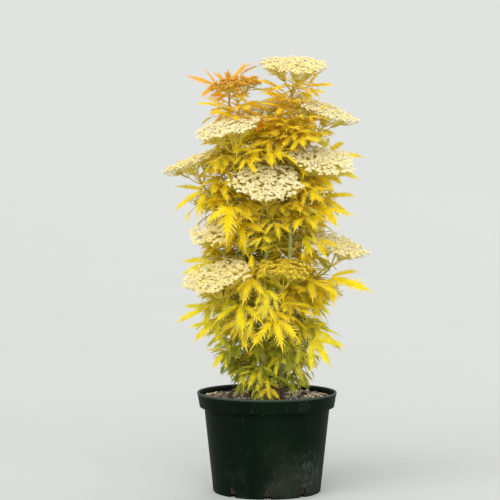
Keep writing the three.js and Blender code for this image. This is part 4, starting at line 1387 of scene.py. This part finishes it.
# Canes and stems.
def add_bark(heap, cane, seed):
    """A cane's bark: rings swollen at each joint, ribs, pores, and fissures at the foot."""
    draw = np.random.default_rng(seed)
    centres = bezier(cane_corners(cane), np.linspace(0, 1, 400))
    run = np.concatenate([[0], np.cumsum(np.linalg.norm(np.diff(centres, axis=0), axis=1))])
    share = np.linspace(0, 1, BARK_RINGS)
    path = np.stack([np.interp(share * run[-1], run, centres[:, k]) for k in range(3)], axis=1)
    keep = path[:, 2] > SOIL_TOP - 3
    path, share = path[keep], share[keep]
    rings, sides = len(path), BARK_SIDES
    # A cane slims quickly above its foot, so it is slender where it shows between the leaves.
    flare = 1 + FOOT_FLARE * np.exp(-share / FLARE_REACH)
    radius = lerp(cane["radius"], CANE_TIP_RADIUS, share**0.6) * flare
    length = share * run[-1]
    joint = draw.uniform(*FIRST_JOINT)
    while joint < run[-1] - 10:
        swelling = JOINT_SWELLING * lerp(cane["radius"], CANE_TIP_RADIUS, joint / run[-1])
        radius += swelling * np.exp(-(((length - joint) / 4.5) ** 2))
        joint += draw.uniform(*JOINT_GAPS) * (1 - 0.25 * joint / run[-1])
    tangent = unit(np.gradient(path, axis=0))
    across = unit(np.cross(tangent, [0.0, 1.0, 0.0]))
    over = np.cross(tangent, across)
    angle = steps_round(sides)
    phase = draw.uniform(0, 6.28)
    ribs = 0.035 * np.cos(5 * angle[None] + phase + 0.004 * length[:, None])
    # The ripples are read on a round bar, squeezed along its length so that they run up the cane.
    bar = (11 * np.cos(angle)[None], 11 * np.sin(angle)[None], 0.22 * length[:, None])
    grid = np.stack(np.broadcast_arrays(*bar), axis=-1).reshape(-1, 3)
    woody = 1 - ramp(path[:, 2], *FISSURED_HEIGHTS)[:, None]
    rough = ripple(grid, 9.0, seed + 1, 18).reshape(rings, sides)
    fissure = np.abs(ripple(grid * [1, 1, 0.6], 6.0, seed + 2, 18)).reshape(rings, sides)
    pores = np.where(draw.random((rings, sides)) < PORE_SHARE, draw.uniform(0.3, 0.6, (rings, sides)), 0.0)
    out = radius[:, None] * (1 + ribs) + 0.12 * rough
    out = out + woody * (0.55 - 0.9 * np.minimum(fissure, 1.2)) + pores
    cos, sin = np.cos(angle)[None, :, None], np.sin(angle)[None, :, None]
    spokes = across[:, None, :] * cos + over[:, None, :] * sin
    walls, ends = ring_faces(rings, sides)
    heap.add(path[:, None, :] + spokes * out[:, :, None], walls, more=ends)


def add_stem(heap, stem, places):
    """A side shoot, with a swelling where each leaf stands."""
    share = np.linspace(0, 1, 26)
    radius = lerp(*SHOOT_RADII, share)
    for place in places:
        radius = radius + 0.7 * np.exp(-(((share - place) / 0.035) ** 2))
    add_tubes(heap, bezier(stem, share)[None], radius[None], 9)


# The container.
def circle(radius, height, sides):
    """A level ring of points about the upright axis."""
    angle = steps_round(sides)
    return np.stack([radius * np.cos(angle), radius * np.sin(angle), np.full(sides, height)], axis=1)


def lathe(heap, profile, sides):
    """A profile turned about the upright axis, with a single point where it meets the axis."""
    rows, points = [], []
    count = 0
    for radius, height in profile:
        if radius > 1e-6:
            points.append(circle(radius, height, sides))
            rows.append(count + np.arange(sides))
        else:
            points.append(np.array([[0.0, 0.0, height]]))
            rows.append(np.full(sides, count))
        count += len(points[-1])
    quads, tips = [], []
    for low, high in zip(rows[:-1], rows[1:]):
        low_next, high_next = np.roll(low, -1), np.roll(high, -1)
        if low[0] == low[-1]:
            tips.append(np.stack([low, high_next, high], axis=1))
        elif high[0] == high[-1]:
            tips.append(np.stack([low, low_next, high], axis=1))
        else:
            quads.append(np.stack([low, low_next, high_next, high], axis=1))
    heap.add(np.concatenate(points), np.concatenate(quads), more=np.concatenate(tips))


def rounded(profile, radius):
    """A profile with each corner drawn as a small curve."""
    profile = [np.array(point, float) for point in profile]
    path = [profile[0]]
    for before, corner, after in zip(profile[:-2], profile[1:-1], profile[2:]):
        back, on = before - corner, after - corner
        reach = min(radius, 0.45 * np.linalg.norm(back), 0.45 * np.linalg.norm(on))
        first, last = corner + unit(back) * reach, corner + unit(on) * reach
        for t in np.linspace(0, 1, CORNER_STEPS + 1):
            path.append(first * (1 - t) ** 2 + 2 * corner * t * (1 - t) + last * t**2)
    path.append(profile[-1])
    return path


def drain_cutters():
    """Arched bars through the foot of the wall, one for each drain hole."""
    arch = []
    for angle in np.linspace(0, math.pi, 13):
        arch.append((HOLE_RADIUS * math.cos(angle), HOLE_RISE + HOLE_RADIUS * math.sin(angle)))
    outline = [(HOLE_RADIUS, -3.0), *arch, (-HOLE_RADIUS, -3.0)]
    walls, ends = ring_faces(2, len(outline))
    heap = Heap()
    for hole in range(HOLE_COUNT):
        angle = math.radians(-90 + 360 / HOLE_COUNT * hole)
        out, side = compass(angle), compass(angle + math.pi / 2)
        points = []
        for reach in (FOOT_RADIUS - 15, FOOT_RADIUS + 15):
            points += [out * reach + side * x + UP * z for x, z in outline]
        heap.add(points, walls, more=ends)
    return link("drain_cutters", heap.mesh("drain_cutters"))


def make_pot():
    """The moulded container: its outside from the middle of the foot to the rim, and its inside back."""
    ledge = POT_HEIGHT - COLLAR_DEPTH
    bead = POT_HEIGHT - BEAD_DEPTH
    floor = FOOT_RING_DEPTH + WALL
    profile = [
        (0, FOOT_RING_DEPTH),
        (FOOT_RING_RADIUS, FOOT_RING_DEPTH),
        (FOOT_RING_RADIUS + 3, 0),
        (FOOT_RADIUS - 0.6, 0),
        (FOOT_RADIUS + 0.3, 6),
        (FOOT_RADIUS + 3.9, 38),
        (SHOULDER_RADIUS, ledge),
        (COLLAR_FOOT_RADIUS, ledge + 0.2),
        (RIM_RADIUS - 0.9, bead - 2),
        (RIM_RADIUS - 0.8, bead - 0.8),
        (RIM_RADIUS, bead),
        (RIM_RADIUS, POT_HEIGHT),
        (RIM_RADIUS - RIM_WIDTH, POT_HEIGHT),
        (COLLAR_FOOT_RADIUS - WALL, ledge + WALL),
        (SHOULDER_RADIUS - WALL, ledge + WALL),
        (FOOT_RADIUS - WALL, floor),
        (0, floor),
    ]
    heap = Heap()
    lathe(heap, rounded(profile, CORNER_RADIUS), POT_SIDES)
    pot = heap.piece("pot_shell", [pot_finish()], "pot", ["pot"], smooth=True)
    cutters = drain_cutters()
    cut = pot.modifiers.new("drain_holes", "BOOLEAN")
    cut.operation = "DIFFERENCE"
    cut.object = cutters
    cut.solver = "EXACT"
    bpy.context.view_layer.update()
    shown = bpy.data.meshes.new_from_object(pot.evaluated_get(bpy.context.evaluated_depsgraph_get()))
    pot.modifiers.clear()
    pot.data = shown
    bpy.data.objects.remove(cutters)
    shown.set_sharp_from_angle(angle=math.radians(32))


def soil_height(x, y):
    """The height of the growing medium: the source's low lumps and finer crumbs."""
    reach = np.hypot(x, y)
    broad = np.sin(0.12 * x + 1) * np.cos(0.15 * y)
    fine = np.sin(0.3 * x + 0.26 * y)
    lumps = np.where(reach < 47, 0.0, 2.2 * (0.6 * broad + 0.4 * fine))
    points = np.stack([x, y], axis=1)
    crumbs = 0.8 * ripple(points, 12.0, 5) + 0.5 * ripple(points, 5.0, 6)
    return SOIL_TOP + lumps + crumbs * ramp(reach, 30, 50)


def make_soil():
    """The bed of growing medium: its uneven top, its side within the container and its flat bottom."""
    reach = SOIL_RADIUS * np.linspace(0, 1, SOIL_RINGS + 1)[1:]
    angle = steps_round(SOIL_SIDES)
    x, y = (reach[:, None] * np.cos(angle)).ravel(), (reach[:, None] * np.sin(angle)).ravel()
    top = np.stack([x, y, soil_height(x, y)], axis=1)
    side = [circle(radius, height, SOIL_SIDES) for radius, height in SOIL_SIDE]
    points = np.concatenate([top, *side, [[0, 0, SOIL_TOP], [0, 0, SOIL_SIDE[-1][1]]]])
    rows = np.arange((SOIL_RINGS + len(SOIL_SIDE)) * SOIL_SIDES).reshape(-1, SOIL_SIDES)
    low, high = rows[:-1], rows[1:]
    quads = np.stack([low, high, np.roll(high, -1, axis=1), np.roll(low, -1, axis=1)], axis=-1)
    middle = np.full(SOIL_SIDES, len(points) - 2)
    first, last = rows[0], rows[-1]
    tips = np.concatenate([
        np.stack([middle, first, np.roll(first, -1)], axis=1),
        np.stack([middle + 1, np.roll(last, -1), last], axis=1),
    ])
    heap = Heap()
    heap.add(points, quads.reshape(-1, 4), more=tips)
    heap.piece("soil_bed", [soil_finish()], "soil", ["soil"], smooth=True)


def make_chips():
    """Bark chips and crumbs that lie on the growing medium, clear of the canes."""
    draw = np.random.default_rng(CHIP_SEED)
    heap = Heap()
    feet = np.array([cane["foot"] for cane in CANES], float)
    corners = np.array([[x, y, z] for x in (-1, 1) for y in (-1, 1) for z in (-1, 1)], float)
    faces = np.array([(0, 1, 3, 2), (4, 6, 7, 5), (0, 4, 5, 1), (2, 3, 7, 6), (0, 2, 6, 4), (1, 5, 7, 3)])
    for number in range(CHIP_COUNT + CRUMB_COUNT):
        crumb = number >= CHIP_COUNT
        radius = CHIP_REACH * math.sqrt(draw.random())
        heading = draw.uniform(0, 2 * math.pi)
        x, y = radius * math.cos(heading), radius * math.sin(heading)
        if np.min(np.hypot(*(feet - [x, y]).T)) < 10:
            continue
        length = draw.uniform(*(CRUMB_LENGTHS if crumb else CHIP_LENGTHS))
        size = np.array([length, length * draw.uniform(0.45, 0.8), draw.uniform(0.7, 1.9)])
        size *= 0.8 if crumb else 1
        shape = corners * (1 + draw.normal(0, 0.22, corners.shape)) * size
        shape[:, 1] *= 1 - 0.35 * draw.random() * np.sign(shape[:, 0])
        turn, tip, lean = draw.uniform(0, 6.28), draw.normal(0, 0.32), draw.normal(0, 0.28)
        for axis, angle in zip(np.eye(3), (lean, tip, turn)):
            shape = np.array([turned(point, axis, angle) for point in shape])
        ground = float(soil_height(np.array([x]), np.array([y]))[0])
        shape = shape + [x, y, ground + 0.6 * size[2] + 0.3 * length * abs(math.sin(tip))]
        reach = np.hypot(shape[:, 0], shape[:, 1])
        over = np.minimum(CHIP_LIMIT / np.maximum(reach, 1e-6), 1.0)
        shape[:, :2] *= over[:, None]
        shares = RIGHT_REAR_SHARES if x > 20 and y > -10 else CHIP_SHARES
        heap.add(shape, faces, int(draw.choice(4, p=shares)))
    finishes = [
        chip_finish("dark_chip", "261f1a", "4a4038"),
        chip_finish("brown_chip", "4a3e34", "84725f"),
        chip_finish("red_chip", "5c463a", "9a7e68"),
        chip_finish("tan_chip", "b8a88c", "f2e8d0"),
    ]
    heap.piece("bark_chips", finishes, "soil")


# The plant.
def add_inner_leaves(foliage, cane, seed):
    """Small leaves in opposite pairs on a cane, each pair across the one below it."""
    draw = np.random.default_rng(seed)
    height, heading = draw.uniform(250, 290), draw.uniform(0, 180)
    while height < cane["tip"][2] - 6:
        root = cane_point(cane, height)
        for side in (0, 180):
            leaf = dict(
                root=root,
                size=draw.uniform(0.5, 0.82),
                lift=draw.uniform(-10, 34),
                heading=math.radians(heading + side + draw.normal(0, 14)),
                seed=int(draw.integers(1e6)),
            )
            foliage.add_leaf(leaf, deal(zone_of(root), draw))
        heading += 90 + draw.normal(0, 12)
        gap = next(gap for floor, gap in INNER_GAPS if height > floor)
        height += draw.uniform(*gap)


def add_proud_leaves(foliage, curves):
    """The leaves that stand out from the crown, each aimed at its tip."""
    canes = {cane["name"]: cane for cane in CANES}
    for number, (stem, at, tip, roll, kind, stalk) in enumerate(PROUD_LEAVES):
        root = cane_point(canes[stem], at) if stem in canes else bezier(curves[stem], at)[0]
        leaf = dict(root=root, roll=roll, stalk=stalk, seed=PROUD_SEED + number)
        foliage.add_leaf(aimed(leaf, tip), kind)


def dress_shoot(foliage, shoot, stem, leaves, seed):
    """A side shoot's main leaves, and finer ones between them."""
    draw = np.random.default_rng(seed)
    flowering = "head" in shoot
    young = shoot["name"] in YOUNG_SHOOTS
    for leaf in leaves:
        leaf["size"] *= 1.0 if flowering else LEAFY_SHARE
        foliage.add_leaf(leaf, deal(zone_of(leaf["root"], young), draw))
    count = FINER_ON_LEAFY
    if flowering:
        count = FINER_ON_HIGH_HEADS if shoot["head"][2] > TOP_FOOT else FINER_ON_HEADS
    for _ in range(count):
        root = bezier(stem, draw.uniform(0.25, 0.95))[0]
        if flowering:
            around = draw.uniform(-180, 180)
        else:
            around = math.degrees(leaves[0]["heading"]) + draw.normal(0, 75)
        leaf = dict(
            root=root,
            size=shoot.get("size", 1.0) * draw.uniform(0.55, 0.8),
            heading=math.radians(around),
            lift=draw.uniform(-14, 26),
            seed=int(draw.integers(1e6)),
        )
        foliage.add_leaf(leaf, deal(zone_of(root, young), draw))


def grow_plant():
    shoots = FLOWER_SHOOTS + leafy_shoots()
    seeds = [FIRST_SEED + index + DRAWN_ANEW.get(shoot["name"], 0) for index, shoot in enumerate(shoots)]
    lines = [shoot_lines(shoot, seed) for shoot, seed in zip(shoots, seeds)]
    foliage = Foliage([head for _, head, _ in lines if head])
    blossom = Blossom()
    stems = Heap()
    for shoot, seed, (stem, head, leaves) in zip(shoots, seeds, lines):
        add_stem(stems, stem, leaf_places(head is not None, len(leaves)))
        if head:
            blossom.add_head(head, HEAD_SEED + seed)
        dress_shoot(foliage, shoot, stem, leaves, seed)
    for number, cane in enumerate(CANES):
        add_inner_leaves(foliage, cane, INNER_SEED + number)
        heap = Heap()
        add_bark(heap, cane, BARK_SEED + 10 * number)
        name = cane["name"].replace("cane", "bark")
        heap.piece(name, [bark_finish()], "cane", [cane["name"]], smooth=True)
    stems.piece("side_shoots", [shoot_finish()], "foliage", smooth=True)
    add_proud_leaves(foliage, {shoot["name"]: line[0] for shoot, line in zip(shoots, lines)})
    foliage.pieces([shoot["name"] for shoot in shoots if "head" not in shoot])
    blossom.pieces([shoot["name"] for shoot in shoots if "head" in shoot])


# The studio.
def make_stage():
    """A flat round floor, wide enough to reach the horizon."""
    ring = circle(FLOOR_RADIUS, 0.0, FLOOR_SIDES)
    mesh = bpy.data.meshes.new("studio_floor")
    mesh.from_pydata([tuple(point * MM) for point in ring], [], [tuple(range(FLOOR_SIDES))])
    mesh.materials.append(floor_finish())
    link("studio_floor", mesh)


def add_light(name, towards, strength, spread, colour=(1.0, 1.0, 1.0)):
    """Light from far away that shines the way it is given, softened over a wide angle."""
    lamp = bpy.data.lights.new(name, "SUN")
    lamp.energy = strength
    lamp.angle = math.radians(spread)
    lamp.color = colour
    light = link(name, lamp)
    light.rotation_euler = Vector(towards).to_track_quat("-Z", "Y").to_euler()


def set_studio():
    world = bpy.data.worlds.new("studio_air")
    world.use_nodes = True
    air = world.node_tree.nodes["Background"].inputs
    air["Color"].default_value = (0.96, 0.985, 0.955, 1.0)
    air["Strength"].default_value = 0.78
    bpy.context.scene.world = world
    add_light("window_left", (0.38, 0.78, -0.85), 2.35, 60)
    add_light("window_right", (-0.45, 1.0, -0.35), 1.15, 60)
    add_light("window_back", (-0.3, -0.9, -0.7), 0.8, 50, (1.0, 0.98, 0.93))


def set_camera():
    lens = bpy.data.cameras.new("camera")
    lens.sensor_width = SENSOR_WIDTH
    lens.lens = LENS_LENGTH
    lens.clip_end = 100.0
    camera = link("camera", lens)
    camera.location = CAMERA_PLACE
    camera.rotation_euler = (math.radians(90 - CAMERA_DIP), 0.0, 0.0)
    bpy.context.scene.camera = camera


set_camera()
make_pot()
make_soil()
make_chips()
grow_plant()
make_stage()
set_studio()
bpy.context.scene.view_settings.view_transform = "Standard"
